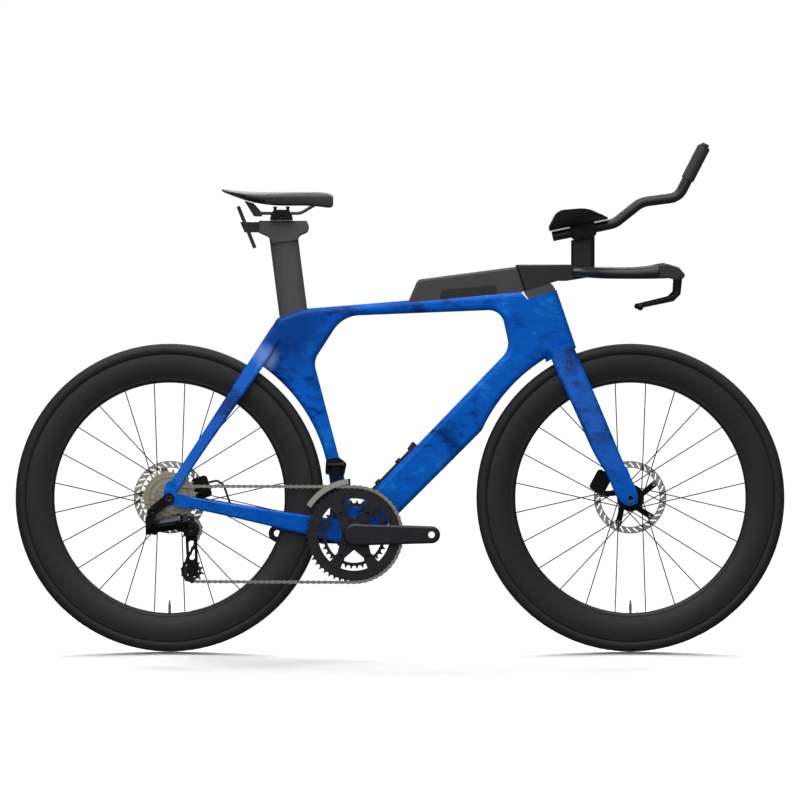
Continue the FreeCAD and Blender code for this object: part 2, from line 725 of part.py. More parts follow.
def bottle_rail(frame_body):
    """The strip with two bolt bosses and an end stop on the down tube."""
    start = BOTTLE_BOSSES[0] - DOWN_TUBE_WAY * RAIL_OVERHANG
    end = BOTTLE_BOSSES[1] + DOWN_TUBE_WAY * (RAIL_OVERHANG + 30)
    low = DOWN_TUBE_OUT * -3
    strip = plate([(start + low, 0), (end + low, 0), (end + DOWN_TUBE_OUT * RAIL_HEIGHT, 3),
                   (start + DOWN_TUBE_OUT * RAIL_HEIGHT, 3)], -RAIL_WIDTH / 2, RAIL_WIDTH / 2)
    pieces = [rod(b, b + DOWN_TUBE_OUT * (RAIL_HEIGHT + 4), 7) for b in BOTTLE_BOSSES]
    stop = end - DOWN_TUBE_WAY * 22
    pieces.append(plate([(stop, 0), (end, 0), (end + DOWN_TUBE_OUT * 13, 3), (stop + DOWN_TUBE_OUT * 10, 4)],
                        -RAIL_WIDTH / 2, RAIL_WIDTH / 2))
    rail = fuse(strip, *pieces)
    for boss in BOTTLE_BOSSES:
        rail = rail.cut(rod(boss - DOWN_TUBE_OUT * 9, boss + DOWN_TUBE_OUT * 30,
                            BOTTLE_THREAD_RADIUS + BOLT_CLEARANCE))
    return rail.cut(frame_body)


# Seatpost, number holder and saddle

HEAD_RAIL_Z = post(POST_SHOWN, 0).z + 30


def above_post(dx, dz, y=0.0):
    """A point measured from the middle of the seatpost head's flat top."""
    return V(post(POST_SHOWN, 0).x + dx, y, HEAD_RAIL_Z + dz)


def seatpost():
    shaft = post_prism(-POST_INSERTED, POST_SHOWN - 6)
    corners = [(above_post(-54, 0), 3), (above_post(52, 0), 4), (above_post(57, -14), 5),
               (above_post(54, -26), 6),
               (above_post(36, -34), 10), (post(POST_SHOWN - 16, POST_CHORD / 2 - 0.5), 0),
               (post(POST_SHOWN - 16, -POST_CHORD / 2 + 4), 0), (above_post(-33, -36), 8),
               (above_post(-54, -27), 4)]
    half = POST_HEAD_WIDTH / 2
    crown = plate(corners, -half, half)
    crown = crown.makeFillet(4, [e for e in crown.Edges if abs(e.CenterOfMass.y) > half - 0.1
                                 and e.CenterOfMass.z > HEAD_RAIL_Z - 30])
    return fuse(shaft, crown)


def number_holder(post_body):
    arm = plate([(above_post(-95, -3), 0), (above_post(-50, -3), 0), (above_post(-50, -26), 0),
                 (above_post(-85, -26), 0)], -8, 8)
    top = above_post(-103, 30)
    foot = above_post(-66, -62)
    across = V(top.z - foot.z, 0, foot.x - top.x).normalize() * HOLDER_THICKNESS
    board = plate([(top, 2), (foot, 2), (foot + across, 2), (top + across, 2)], -HOLDER_WIDTH / 2,
                  HOLDER_WIDTH / 2)
    return fuse(arm, board).cut(post_body)


def tube_path(points, radii):
    """An open path of straight runs joined by tangent arcs."""
    edges = []
    last = points[0]
    for i in range(1, len(points) - 1):
        back = (points[i - 1] - points[i]).normalize()
        onward = (points[i + 1] - points[i]).normalize()
        half = back.getAngle(onward) / 2
        reach = radii[i - 1] / math.tan(half)
        start = points[i] + back * reach
        end = points[i] + onward * reach
        middle = points[i] + (back + onward).normalize() * (radii[i - 1] / math.sin(half) - radii[i - 1])
        edges.append(Part.makeLine(last, start))
        edges.append(Part.Arc(start, middle, end).toShape())
        last = end
    edges.append(Part.makeLine(last, points[-1]))
    return Part.Wire(edges)


def tube(points, radii, radius):
    path = tube_path(points, radii)
    aim = points[1] - points[0]
    section = Part.Wire(Part.Circle(points[0], aim, radius).toShape())
    return path.makePipeShell([section], True, False)


def saddle_rail(y, spare=0.0):
    """One rail, or with a spare the room that it needs in the saddle's base."""
    points = [above_post(-58, 16, y), above_post(38, 16, y), above_post(70, 35, y * 0.6)]
    points[2] += (points[2] - points[1]).normalize() * spare
    return tube(points, [30], SADDLE_RAIL_RADIUS + spare)


def saddle_strut(y):
    """The moulded strut that comes down from the saddle's tail and holds the rear end of one rail."""
    corners = [(above_post(-97, 62), 0), (above_post(-80, 55), 0), (above_post(-47, 18), 4),
               (above_post(-46, 9), 3),
               (above_post(-64, 9), 6)]
    strut = plate(corners, y - STRUT_WIDTH / 2, y + STRUT_WIDTH / 2)
    return min(strut.cut(saddle_hull(FREE)).Solids, key=lambda s: s.CenterOfMass.z)


def saddle_rails():
    """Both rails, with the two struts at their rear ends."""
    return Part.makeCompound([fuse(saddle_rail(y), saddle_strut(y))
                              for y in (SADDLE_RAIL_SPREAD, -SADDLE_RAIL_SPREAD)])


def saddle_clamp():
    """Cradle and cap that grip both rails on the seatpost head."""
    half = SADDLE_RAIL_SPREAD + 9
    cradle = plate([(above_post(-30, FREE), 3), (above_post(22, FREE), 3), (above_post(18, 16.5), 3),
                    (above_post(-26, 16.5), 3)], -half, half)
    cap = plate([(above_post(-26, 18.0), 2), (above_post(18, 17.5), 2), (above_post(12, 24), 3),
                 (above_post(-20, 24.5), 3)], -half, half)
    bolts = [rod(above_post(x, 6), above_post(x, 29), 3.5) for x in (-18, 10)]
    pieces = [cradle.cut(bolts), cap.cut(bolts)] + bolts
    rails = [saddle_rail(SADDLE_RAIL_SPREAD), saddle_rail(-SADDLE_RAIL_SPREAD)]
    return Part.makeCompound([p.cut(rails) for p in pieces])


def saddle_section(dx, top, bottom, half_width, edge_drop):
    """One cross-section of the saddle: a crowned top, drawn-in sides and a flat base."""
    shoulder = half_width
    base = half_width * SADDLE_BASE_SHARE
    level = top - edge_drop
    left = above_post(dx, level, shoulder)
    right = above_post(dx, level, -shoulder)
    low_left = above_post(dx, bottom, base)
    low_right = above_post(dx, bottom, -base)
    side = (level + bottom) / 2
    bow = (shoulder + base) / 2 + half_width * 0.06
    edges = [Part.Arc(left, above_post(dx, top), right).toShape(),
             Part.Arc(right, above_post(dx, side, -bow), low_right).toShape(),
             Part.makeLine(low_right, low_left),
             Part.Arc(low_left, above_post(dx, side, bow), left).toShape()]
    return Part.Wire(edges)


def saddle_hull(spare=0.0):
    """Shell and padding in one outline: a raised tail, a broad seat and a long blunt nose."""
    wires = [saddle_section(dx, top, bottom - spare, half + spare, drop) for dx, top, bottom, half,
             drop in SADDLE_SECTIONS]
    return loft(wires)


def saddle():
    return saddle_hull().cut([saddle_rail(SADDLE_RAIL_SPREAD, FREE), saddle_rail(-SADDLE_RAIL_SPREAD, FREE)])


# Fork

def fork_leg():
    """The left leg, lofted through flat rounded sections across the steering axis."""
    wires = []
    for share, ahead, half_chord, y, half_thick in LEG_SECTIONS:
        wires.append(rounded_section(head(share * CROWN_HEIGHT, ahead, y), STEER_AHEAD * half_chord,
                                     Y_AXIS * half_thick, half_thick * 0.8))
    boss = disc(FRONT_AXLE, FORK_TIP_RADIUS, FRONT_FACE, FRONT_FACE + FORK_TIP_THICKNESS)
    return fuse(loft(wires), boss)


def fork_crown():
    """The bridge over the tyre. Its rear is round about the steering axis, to turn in the frame's pocket."""
    low = CROWN_HEIGHT - CROWN_DEPTH
    turning = rod(head(low, 0), head(CROWN_TOP, 0), CROWN_RADIUS)
    corners = [head(low, -60), head(low, HEAD_FRONT + 1), head(CROWN_TOP, HEAD_FRONT + 1),
               head(CROWN_TOP, -60)]
    block = turning.common(plate([(c, 0) for c in corners], -CROWN_HALF_WIDTH, CROWN_HALF_WIDTH))
    return block


def fork():
    leg = fork_leg()
    arch = disc(FRONT_AXLE, TYRE_RADIUS + CROWN_TYRE_GAP, -TYRE_SLOT, TYRE_SLOT)
    steerer = rod(head(CROWN_HEIGHT - 12, 0), head(STEERER_TOP, 0), STEERER_RADIUS)
    crown = fork_crown().cut(disc(FRONT_AXLE, TYRE_RADIUS + CROWN_TYRE_GAP, -90, 90))
    body = crown.fuse([leg, mirrored(leg)]).cut(arch)
    above = [head(CROWN_TOP, -90), head(CROWN_TOP, 90), head(CROWN_TOP + 60, 90), head(CROWN_TOP + 60, -90)]
    body = body.cut(plate([(c, 0) for c in above], -90, 90))
    body = body.fuse(steerer).removeSplitter()
    return body.cut([disc(FRONT_AXLE, AXLE_RADIUS + SEAT, -100, 100),
                     disc(FRONT_AXLE, END_CAP_RADIUS + FREE, -FRONT_FACE, FRONT_FACE),
                     disc(FRONT_AXLE, AXLE_RADIUS + 4, FRONT_FACE + FORK_TIP_THICKNESS, 100)])


# Cockpit

STEM_TOP_Z = head(HEAD_TOP, 0).z + STEM_RISE
BAR_X = head(HEAD_TOP, 0).x + BAR_REACH
BAR_Z = STEM_TOP_Z - 16


def bar(dx, dz, y=0.0):
    """A point measured from the middle of the base bar."""
    return V(BAR_X + dx, y, BAR_Z + dz)


def stem():
    """The stem, moulded in one with the base bar, with a rear that turns clear of the box."""
    rear_top = head(HEAD_TOP + STEM_RISE + 12, -STEM_REAR)
    foot = COVER_TOP + FREE
    corners = [(head(foot, -STEM_REAR), 0), (head(foot, 35), 4), (bar(-37, -20), 12),
               (bar(14, -12), 0), (bar(28, 8), 6), (bar(-26, 16), 20), (V(rear_top.x, 0, STEM_TOP_Z), 3)]
    half = STEM_WIDTH / 2
    body = plate(corners, -half, half)
    body = body.makeFillet(4, [e for e in body.Edges if abs(e.CenterOfMass.y) > half - 0.1
                               and (e.CenterOfMass - head(foot, 0)).dot(STEER_UP) > 1])
    turning = rod(head(HEAD_TOP, 0), head(HEAD_TOP + 160, 0), STEM_REAR)
    ahead = [head(HEAD_TOP - 20, 0), head(HEAD_TOP - 20, 200), head(HEAD_TOP + 160, 200),
             head(HEAD_TOP + 160, 0)]
    keep = turning.fuse(plate([(c, 0) for c in ahead], -60, 60))
    return body.common(keep)


def bar_wing():
    """The left half of the base bar: a flat wing that turns forward into the hand grip."""
    wires = []
    up = V(0, 0, 1)
    for dx, y, dz, turn, half_chord, half_height in BAR_SECTIONS:
        angle = math.radians(turn)
        across = V(math.cos(angle), -math.sin(angle), 0)
        wires.append(oval(bar(dx, dz, y), across * half_chord, up * half_height))
    return loft(wires)


def base_bar():
    wing = bar_wing()
    body = stem().fuse([wing, mirrored(wing)])
    return body.cut(rod(head(HEAD_TOP, 0), head(STEERER_TOP + SEAT, 0),
                        STEERER_RADIUS + SEAT)).removeSplitter()


BAR_TIP = BAR_SECTIONS[-1]
BAR_END = bar(BAR_TIP[0], BAR_TIP[2], BAR_TIP[1])
LEVER_PIVOT = BAR_END + V(*LEVER_PIVOT_OFFSET)


def lever_bracket():
    """The left lever bracket at the end of the bar, slotted for the lever, with its hinge pin."""
    base = BAR_END + V(SEAT, 0, 0)
    half = BRACKET_WIDTH / 2
    corners = [(base + V(0, 0, 15), 2), (base + V(18, 0, 18), 14), (base + V(44, 0, 10), 12),
               (base + V(60, 0, -8), 7), (LEVER_PIVOT + V(0, 0, -9), 6), (base + V(22, 0, -14), 5),
               (base + V(0, 0, -15), 2)]
    body = plate([(p, r) for p, r in corners], BAR_END.y - half, BAR_END.y + half)
    body = body.makeFillet(4, [e for e in body.Edges if abs(e.CenterOfMass.y - BAR_END.y) > half - 0.1
                               and e.CenterOfMass.x > base.x + 1])
    slot_half = LEVER_WIDTH / 2 + FREE
    slot = disc(LEVER_PIVOT, LEVER_BOSS + 2, BAR_END.y - slot_half, BAR_END.y + slot_half)
    way_out = plate([(LEVER_PIVOT + V(-LEVER_BOSS - 2, 0, 0), 0), (LEVER_PIVOT + V(LEVER_BOSS + 2, 0, 0), 0),
                     (LEVER_PIVOT + V(LEVER_BOSS + 2, 0, -30), 0),
                     (LEVER_PIVOT + V(-LEVER_BOSS - 22, 0, -30), 0)],
                    BAR_END.y - slot_half, BAR_END.y + slot_half)
    pin = disc(LEVER_PIVOT, LEVER_PIN, BAR_END.y - half + 1, BAR_END.y + half - 1)
    return body.cut([slot, way_out]).fuse(pin).removeSplitter()


def brake_lever():
    """The left lever: down from its pivot, then back to a ball end."""
    half = LEVER_WIDTH / 2
    low, high = BAR_END.y - half, BAR_END.y + half
    knee = LEVER_PIVOT + V(-3, 0, -36)
    bend = LEVER_PIVOT + V(-16, 0, -49)
    tip = LEVER_PIVOT + V(-82, 0, -64)
    blade = fuse(capsule(LEVER_PIVOT, knee, LEVER_BOSS, 5.0, low, high),
                 capsule(knee, bend, 5.0, 4.8, low, high),
                 capsule(bend, tip, 4.8, 3.6, low, high))
    ball = Part.makeSphere(6.5, V(tip.x - 4, BAR_END.y, tip.z - 3))
    body = blade.fuse(ball)
    return body.cut(disc(LEVER_PIVOT, LEVER_PIN + RUN, low - 1, high + 1)).removeSplitter()


EXT_TILT = math.radians(EXT_ANGLE)
EXT_WAY = V(math.cos(EXT_TILT), 0, math.sin(EXT_TILT))
EXT_UP = V(-math.sin(EXT_TILT), 0, math.cos(EXT_TILT))
EXT_FOOT = bar(0, RISER_HEIGHT + 30)


def ext(along, up, y=0.0):
    """A point measured along the extensions from above the riser."""
    return EXT_FOOT + EXT_WAY * along + EXT_UP * up + V(0, y, 0)


def riser(bar_body):
    """The tower from the base bar to the extension clamp."""
    half = RISER_LENGTH / 2
    side = RISER_WIDTH / 2
    low = BAR_Z - 4
    corners = [V(BAR_X - half, -side, low), V(BAR_X + half, -side, low),
               V(BAR_X + half, side, low), V(BAR_X - half, side, low)]
    body = Part.Face(outline([(c, 9) for c in corners])).extrude(V(0, 0, RISER_HEIGHT + 40))
    below = [(ext(-90, -CLAMP_HALF - SEAT), 0), (ext(90, -CLAMP_HALF - SEAT), 0), (ext(90, 90), 0),
             (ext(-90, 90), 0)]
    body = body.cut(plate(below, -60, 60)).cut(bar_body)
    return max(body.Solids, key=lambda s: s.Volume)


def extension_points(y):
    """The extension's route: level at the clamp, up in an S to the hands, then steeply up at the grip."""
    return [ext(-68, 0, y), ext(71, 0, y), ext(138, 34, y), ext(220, 28, y), ext(299, 126, y)]


def extension():
    return tube(extension_points(EXT_SPREAD), EXT_BENDS, EXT_RADIUS)


def grip_line():
    points = extension_points(EXT_SPREAD)
    way = (points[-1] - points[-2]).normalize()
    return points[-1], way


def extension_with_bore():
    tip, way = grip_line()
    body = extension()
    return body.cut(rod(tip - way * BUTTON_DEPTH, tip + way, BUTTON_RADIUS + FREE))


def extension_grip():
    tip, way = grip_line()
    start = tip - way * GRIP_LENGTH
    outer = rod(start, tip - way * 2, GRIP_RADIUS)
    return outer.cut(rod(start - way, tip + way, EXT_RADIUS + SEAT))


def shift_button():
    """A round push button in the tip of the extension."""
    tip, way = grip_line()
    stem_part = rod(tip - way * (BUTTON_DEPTH - BUTTON_TRAVEL - FREE), tip + way * BUTTON_PROUD,
                    BUTTON_RADIUS)
    top_edge = max(stem_part.Edges, key=lambda e: e.CenterOfMass.z)
    return stem_part.makeFillet(2, [top_edge])


def cup_solid(outer, inner, length_spare):
    """A round trough along the forearm, with a rim that falls to the front."""
    axis_up = EXT_RADIUS + CUP_LIFT + CUP_RADIUS
    y = CUP_SPREAD
    shell = rod(ext(-90, axis_up, y), ext(90, axis_up, y), outer)
    shell = shell.cut(rod(ext(-91, axis_up, y), ext(91, axis_up, y), inner))
    s = length_spare
    corners = [(ext(-72 + s, -10), 0), (ext(58 - s, -10), 0), (ext(58 - s, 17), 4), (ext(18, 46 - s), 60),
               (ext(-46, 54 - s), 30), (ext(-72 + s, 21), 8)]
    return shell.common(plate(corners, y - 80, y + 80))


def armrest_cup():
    return cup_solid(CUP_RADIUS, CUP_RADIUS - CUP_WALL, 0)


def armrest_pad():
    return cup_solid(CUP_RADIUS - CUP_WALL - FREE, CUP_RADIUS - CUP_WALL - PAD_THICKNESS, 6)


def extension_clamp():
    """The bridge on the riser that grips both extensions and carries the armrest cups."""
    half = EXT_SPREAD + EXT_RADIUS + 8
    corners = [(ext(-27, -CLAMP_HALF), 5), (ext(27, -CLAMP_HALF), 5), (ext(27, CLAMP_TOP), 5),
               (ext(-27, CLAMP_TOP), 5)]
    body = plate(corners, -half, half)
    axis_up = EXT_RADIUS + CUP_LIFT + CUP_RADIUS
    for side in (-1, 1):
        body = body.cut(rod(ext(-80, 0, side * EXT_SPREAD), ext(80, 0, side * EXT_SPREAD),
                            EXT_RADIUS + SEAT / 2))
        body = body.cut(rod(ext(-80, axis_up, side * CUP_SPREAD), ext(80, axis_up, side * CUP_SPREAD),
                            CUP_RADIUS + SEAT))
    return max(body.Solids, key=lambda s: s.Volume)


def pair(shape):
    return Part.makeCompound([shape, mirrored(shape)])


# Wheels

def section_face(centre, edges):
    """A cross-section through the wheel's axis, from edges drawn as radius and depth pairs."""
    def at(pair_):
        return V(centre.x, pair_[1], centre.z + pair_[0])
    drawn = []
    for points in edges:
        if len(points) == 3:
            drawn.append(Part.Arc(at(points[0]), at(points[1]), at(points[2])).toShape())
        else:
            drawn.append(Part.makeLine(at(points[0]), at(points[1])))
    return Part.Face(Part.Wire(drawn))


def spun(centre, face):
    return face.revolve(V(centre.x, 0, centre.z), Y_AXIS, 360)


VALVE_TURN = -90.0


def tyre(centre):
    """An open tyre carcass with its beads in the rim, and the valve that comes out at the bottom."""
    half = TYRE_WIDTH / 2
    middle = TYRE_RADIUS - half
    low = math.radians(BEAD_TURN)
    shoulder = (middle - half * math.sin(low), half * math.cos(low))
    inner = (middle - (half - TYRE_WALL) * math.sin(low), (half - TYRE_WALL) * math.cos(low))
    bead = RIM_BEAD_RADIUS + SEAT
    edges = [(shoulder, (TYRE_RADIUS, 0), (shoulder[0], -shoulder[1])),
             ((shoulder[0], -shoulder[1]), (bead, -shoulder[1])),
             ((bead, -shoulder[1]), (bead, -inner[1])),
             ((bead, -inner[1]), (inner[0], -inner[1])),
             ((inner[0], -inner[1]), (TYRE_RADIUS - TYRE_WALL, 0), inner),
             (inner, (bead, inner[1])),
             ((bead, inner[1]), (bead, shoulder[1])),
             ((bead, shoulder[1]), shoulder)]
    carcass = spun(centre, section_face(centre, edges))
    base = polar(centre, RIM_BEAD_RADIUS + SEAT + 3, VALVE_TURN)
    tip = polar(centre, RIM_NOSE_RADIUS - VALVE_LENGTH, VALVE_TURN)
    neck = polar(centre, RIM_NOSE_RADIUS - VALVE_LENGTH + 8, VALVE_TURN)
    seat = polar(centre, RIM_BEAD_RADIUS + SEAT, VALVE_TURN)
    valve = fuse(rod(base, neck, VALVE_RADIUS), rod(neck, tip, VALVE_RADIUS * 0.6),
                 rod(base, seat, VALVE_RADIUS * 1.8))
    return Part.makeCompound([carcass, valve])


RIM_NOSE_RADIUS = RIM_EDGE_RADIUS - RIM_DEPTH


def rim_profile(wall):
    """The deep rim in section; wall is how far the outline lies inside the outer surface."""
    half = RIM_WIDTH / 2 - wall
    nose = RIM_NOSE_RADIUS + wall
    cheek = RIM_NOSE_RADIUS + RIM_NOSE_DEPTH
    cheek_half = RIM_NOSE_HALF - wall
    middle = (RIM_EDGE_RADIUS + cheek) / 2 + 4
    edge = RIM_EDGE_RADIUS if wall == 0 else RIM_BEAD_RADIUS - wall
    edge_half = half - 0.7
    return edge, edge_half, middle, half, cheek, cheek_half, nose


def rim_sides(wall):
    edge, edge_half, middle, half, cheek, cheek_half, nose = rim_profile(wall)
    return [((edge, edge_half), (middle, half), (cheek, cheek_half)),
            ((cheek, cheek_half), (nose, 0), (cheek, -cheek_half)),
            ((cheek, -cheek_half), (middle, -half), (edge, -edge_half))]


def rim(centre, spoke_holes):
    """A hollow deep rim with a tyre bed between two bead walls."""
    edge, edge_half = rim_profile(0)[:2]
    bed = edge_half - RIM_BEAD_WALL
    outer = rim_sides(0) + [((edge, -edge_half), (edge, -bed)), ((edge, -bed), (RIM_BEAD_RADIUS, -bed)),
                            ((RIM_BEAD_RADIUS, -bed), (RIM_BEAD_RADIUS, bed)),
                            ((RIM_BEAD_RADIUS, bed), (edge, bed)),
                            ((edge, bed), (edge, edge_half))]
    top, top_half = rim_profile(RIM_WALL)[:2]
    inner = rim_sides(RIM_WALL) + [((top, -top_half), (top, top_half))]
    body = spun(centre, section_face(centre, outer)).cut(spun(centre, section_face(centre, inner)))
    valve_hole = rod(polar(centre, RIM_NOSE_RADIUS - 20, VALVE_TURN),
                     polar(centre, RIM_EDGE_RADIUS + 20, VALVE_TURN),
                     VALVE_RADIUS + FREE)
    return body.cut(spoke_holes + [valve_hole])


def spoke_ends(centre, flanges, number):
    """Where one spoke starts on the hub flange and ends in the rim, and which flange face it lies on."""
    flange = flanges[number % 2]
    side = 1 if flange > 0 else -1
    lean = 1 if (number // 2) % 2 else -1
    turn = (number + 0.5) * 360.0 / SPOKES
    face = side if lean > 0 else -side
    offset = FLANGE_THICKNESS / 2 + SPOKE_RADIUS + 1.0
    start = polar(centre, FLANGE_RADIUS, turn + lean * SPOKE_CROSS_TURN, flange + face * offset)
    end = polar(centre, RIM_NOSE_RADIUS + RIM_WALL + 4, turn, side * 1.5)
    return start, end, flange, face


def spokes(centre, flanges):
    """Bent-head spokes laced across each other, with nipples inside the rim."""
    made = []
    for number in range(SPOKES):
        start, end, flange, face = spoke_ends(centre, flanges, number)
        way = (end - start).normalize()
        shaft = rod(start, end, SPOKE_RADIUS)
        far = V(start.x, flange - face * (FLANGE_THICKNESS / 2 + 0.6), start.z)
        elbow = rod(start, far, SPOKE_RADIUS)
        head_ball = Part.makeSphere(SPOKE_RADIUS, start)
        nipple = rod(end - way * 1.0, end + way * 5, SPOKE_RADIUS * 2)
        cap = rod(far, far - V(0, face * 1.0, 0), SPOKE_RADIUS * 1.8)
        made.append(shaft.fuse([elbow, head_ball, nipple, cap]))
    return Part.makeCompound(made)


def spoke_holes(centre, flanges, at_rim):
    holes = []
    for number in range(SPOKES):
        start, end, flange, _ = spoke_ends(centre, flanges, number)
        if at_rim:
            way = (end - start).normalize()
            holes.append(rod(end - way * 16, end - way * 0.5, SPOKE_RADIUS + FREE))
        else:
            holes.append(disc(start, SPOKE_RADIUS + FREE, flange - 5, flange + 5))
    return holes


def hub(centre, flanges, right_end, left_end):
    """A turned hub shell with two drilled flanges, a rotor seat and a bore for the axle sleeve."""
    right, left = flanges
    t = FLANGE_THICKNESS / 2
    rim_ = FLANGE_RADIUS + 2.5
    profile = [(SLEEVE_RADIUS + RUN, right_end), (HUB_RADIUS, right_end),
               (HUB_RADIUS + 3, max(right - t - 4, right_end)),
               (rim_ - 6, right - t), (rim_, right - t), (rim_, right + t), (rim_ - 6, right + t),
               (HUB_RADIUS, right + t + 9), (HUB_RADIUS, left - t - 9), (rim_ - 6, left - t),
               (rim_, left - t),
               (rim_, left + t), (rim_ - 6, left + t), (ROTOR_SEAT_RADIUS, left + t + 3),
               (ROTOR_SEAT_RADIUS, left_end),
               (SLEEVE_RADIUS + RUN, left_end)]
    return turned(centre, profile).cut(spoke_holes(centre, flanges, False))


def rotor(centre, y):
    """A slotted steel track on a five-arm carrier."""
    low = y - ROTOR_THICKNESS / 2
    high = y + ROTOR_THICKNESS / 2
    inner = ROTOR_RADIUS - ROTOR_TRACK
    track = ring(centre, ROTOR_RADIUS, inner, low, high)
    slots = []
    for number in range(ROTOR_SLOTS):
        turn = number * 360.0 / ROTOR_SLOTS
        start = polar(centre, inner + 3.5, turn)
        end = polar(centre, ROTOR_RADIUS - 3.5, turn + 6.5)
        slots.append(capsule(start, end, 1.5, 1.3, low - 1, high + 1))
    carrier = ring(centre, ROTOR_SEAT_RADIUS + 8, ROTOR_SEAT_RADIUS + SEAT, y - 2.2, y + 2.2)
    arms = []
    for number in range(ROTOR_ARMS):
        turn = 90 + number * 360.0 / ROTOR_ARMS
        arms.append(capsule(polar(centre, ROTOR_SEAT_RADIUS + 4, turn - 12),
                            polar(centre, inner + 1, turn + 12),
                            5.5, 7.0, y - 1.6, y + 1.6))
    spider = carrier.fuse(arms).cut(disc(centre, ROTOR_SEAT_RADIUS + SEAT, y - 9, y + 9))
    spider = spider.common(disc(centre, inner - SEAT / 2, y - 9, y + 9)).removeSplitter()
    return Part.makeCompound([track.cut(slots), spider])


def axle_and_sleeve(centre, face, right_end, left_end):
    """The thru-axle, and the hub's inner sleeve that it clamps between the dropouts."""
    bolt = fuse(disc(centre, AXLE_RADIUS, right_end, left_end),
                disc(centre, AXLE_RADIUS + 3, left_end, left_end + 2.5))
    sleeve = fuse(disc(centre, SLEEVE_RADIUS, -face, face),
                  disc(centre, END_CAP_RADIUS, -face, -face + END_CAP),
                  disc(centre, END_CAP_RADIUS, face - END_CAP, face))
    return Part.makeCompound([bolt, sleeve.cut(disc(centre, AXLE_RADIUS + SEAT, -face - 1, face + 1))])


# Brakes

def brake_local(centre, degrees, radius, sideways):
    turn = math.radians(degrees)
    out = V(math.cos(turn), 0, math.sin(turn))
    along = V(-math.sin(turn), 0, math.cos(turn))
    return centre + out * radius + along * sideways


def caliper(centre, degrees, y):
    """A two-piston caliper round the rotor's edge, open towards the axle."""
    reach = ROTOR_RADIUS + CALIPER_BRIDGE
    corners = [brake_local(centre, degrees, CALIPER_RADIUS - 17, -CALIPER_HALF),
               brake_local(centre, degrees, reach, -CALIPER_HALF),
               brake_local(centre, degrees, reach, CALIPER_HALF),
               brake_local(centre, degrees, CALIPER_RADIUS - 17, CALIPER_HALF)]
    body = plate([(c, 7) for c in corners], y - CALIPER_INNER, y + CALIPER_OUTER)
    slot = ROTOR_THICKNESS / 2 + PAD_GAP + BRAKE_PAD_THICKNESS + FREE
    body = body.cut(disc(centre, ROTOR_RADIUS + 2, y - slot, y + slot))
    piston = brake_local(centre, degrees, CALIPER_RADIUS, 0)
    depth = slot + PISTON_LENGTH
    body = body.cut(disc(piston, PISTON_RADIUS + RUN, y - depth, y + depth))
    return body


def brake_pad(centre, degrees, y, side):
    """One pad with its backing plate and piston."""
    low = ROTOR_THICKNESS / 2 + PAD_GAP
    high = low + BRAKE_PAD_THICKNESS
    inner = ROTOR_RADIUS - ROTOR_TRACK + 0.5
    outer = ROTOR_RADIUS - 1
    corners = [brake_local(centre, degrees, inner, -13), brake_local(centre, degrees, outer, -13),
               brake_local(centre, degrees, outer, 13), brake_local(centre, degrees, inner, 13)]
    near, far = sorted((y + side * low, y + side * high))
    pad = plate([(c, 3) for c in corners], near, far)
    piston = disc(brake_local(centre, degrees, CALIPER_RADIUS, 0), PISTON_RADIUS, y + side * high,
                  y + side * (high + PISTON_LENGTH - 1))
    return fuse(pad, piston)


def biggest(shape):
    return max(shape.Solids, key=lambda s: s.Volume)


# Drivetrain

def pitch_radius(teeth):
    return CHAIN_PITCH / (2 * math.sin(math.pi / teeth))


def sprocket(centre, teeth, phase, y_from, y_to):
    """A toothed disc whose seats hold the chain rollers. The phase is the angle of one roller seat."""
    seat = ROLLER_RADIUS + TOOTH_CLEARANCE
    radius = pitch_radius(teeth)
    step = 2 * math.pi / teeth
    spread = math.radians(SEAT_SPREAD)
    edges = []
    ends = []
    for number in range(teeth):
        turn = math.radians(phase) + number * step
        out = V(math.cos(turn), 0, math.sin(turn))
        along = V(-math.sin(turn), 0, math.cos(turn))
        middle = V(centre.x, y_from, centre.z) + out * radius
        first = middle - out * (seat * math.cos(spread)) - along * (seat * math.sin(spread))
        last = middle - out * (seat * math.cos(spread)) + along * (seat * math.sin(spread))
        ends.append((first, middle - out * seat, last, turn))
    for number in range(teeth):
        first, bottom, last, turn = ends[number]
        following = ends[(number + 1) % teeth][0]
        edges.append(Part.Arc(first, bottom, last).toShape())
        peak = turn + step / 2
        half_tip = TOOTH_TIP / 2 / radius
        tips = []
        for angle in (peak - half_tip, peak + half_tip):
            tips.append(V(centre.x + (radius + TOOTH_RISE) * math.cos(angle), y_from,
                          centre.z + (radius + TOOTH_RISE) * math.sin(angle)))
        edges += [Part.makeLine(last, tips[0]), Part.makeLine(tips[0], tips[1]),
                  Part.makeLine(tips[1], following)]
    return Part.Face(Part.Wire(edges)).extrude(V(0, y_to - y_from, 0))


def tangent(one, other):
    """The straight chain run between two wheels; each is centre, radius and turning sense."""
    (c1, r1, s1), (c2, r2, s2) = one, other
    gap = c2 - c1
    aim = math.atan2(gap.z, gap.x) + math.asin((r1 * s1 - r2 * s2) / math.hypot(gap.x, gap.z))
    side = aim - math.pi / 2
    return side if s1 > 0 else side + math.pi, side if s2 > 0 else side + math.pi


GUIDE = rear(GUIDE_AHEAD, -GUIDE_BELOW)
COG_Y = -(SMALLEST_COG_OFFSET - CHAIN_COG * COG_PITCH)
RING_Y = -CHAINLINE


def chain_wheels(cage_turn):
    """The four wheels that the chain goes round, in order, with their turning senses and depths."""
    tension = polar(GUIDE, CAGE_LENGTH, cage_turn)
    return [(BB, OUTER_TEETH, 1, RING_Y), (REAR_AXLE, COGS[CHAIN_COG], 1, COG_Y),
            (GUIDE, PULLEY_TEETH, -1, COG_Y), (tension, PULLEY_TEETH, 1, COG_Y)]


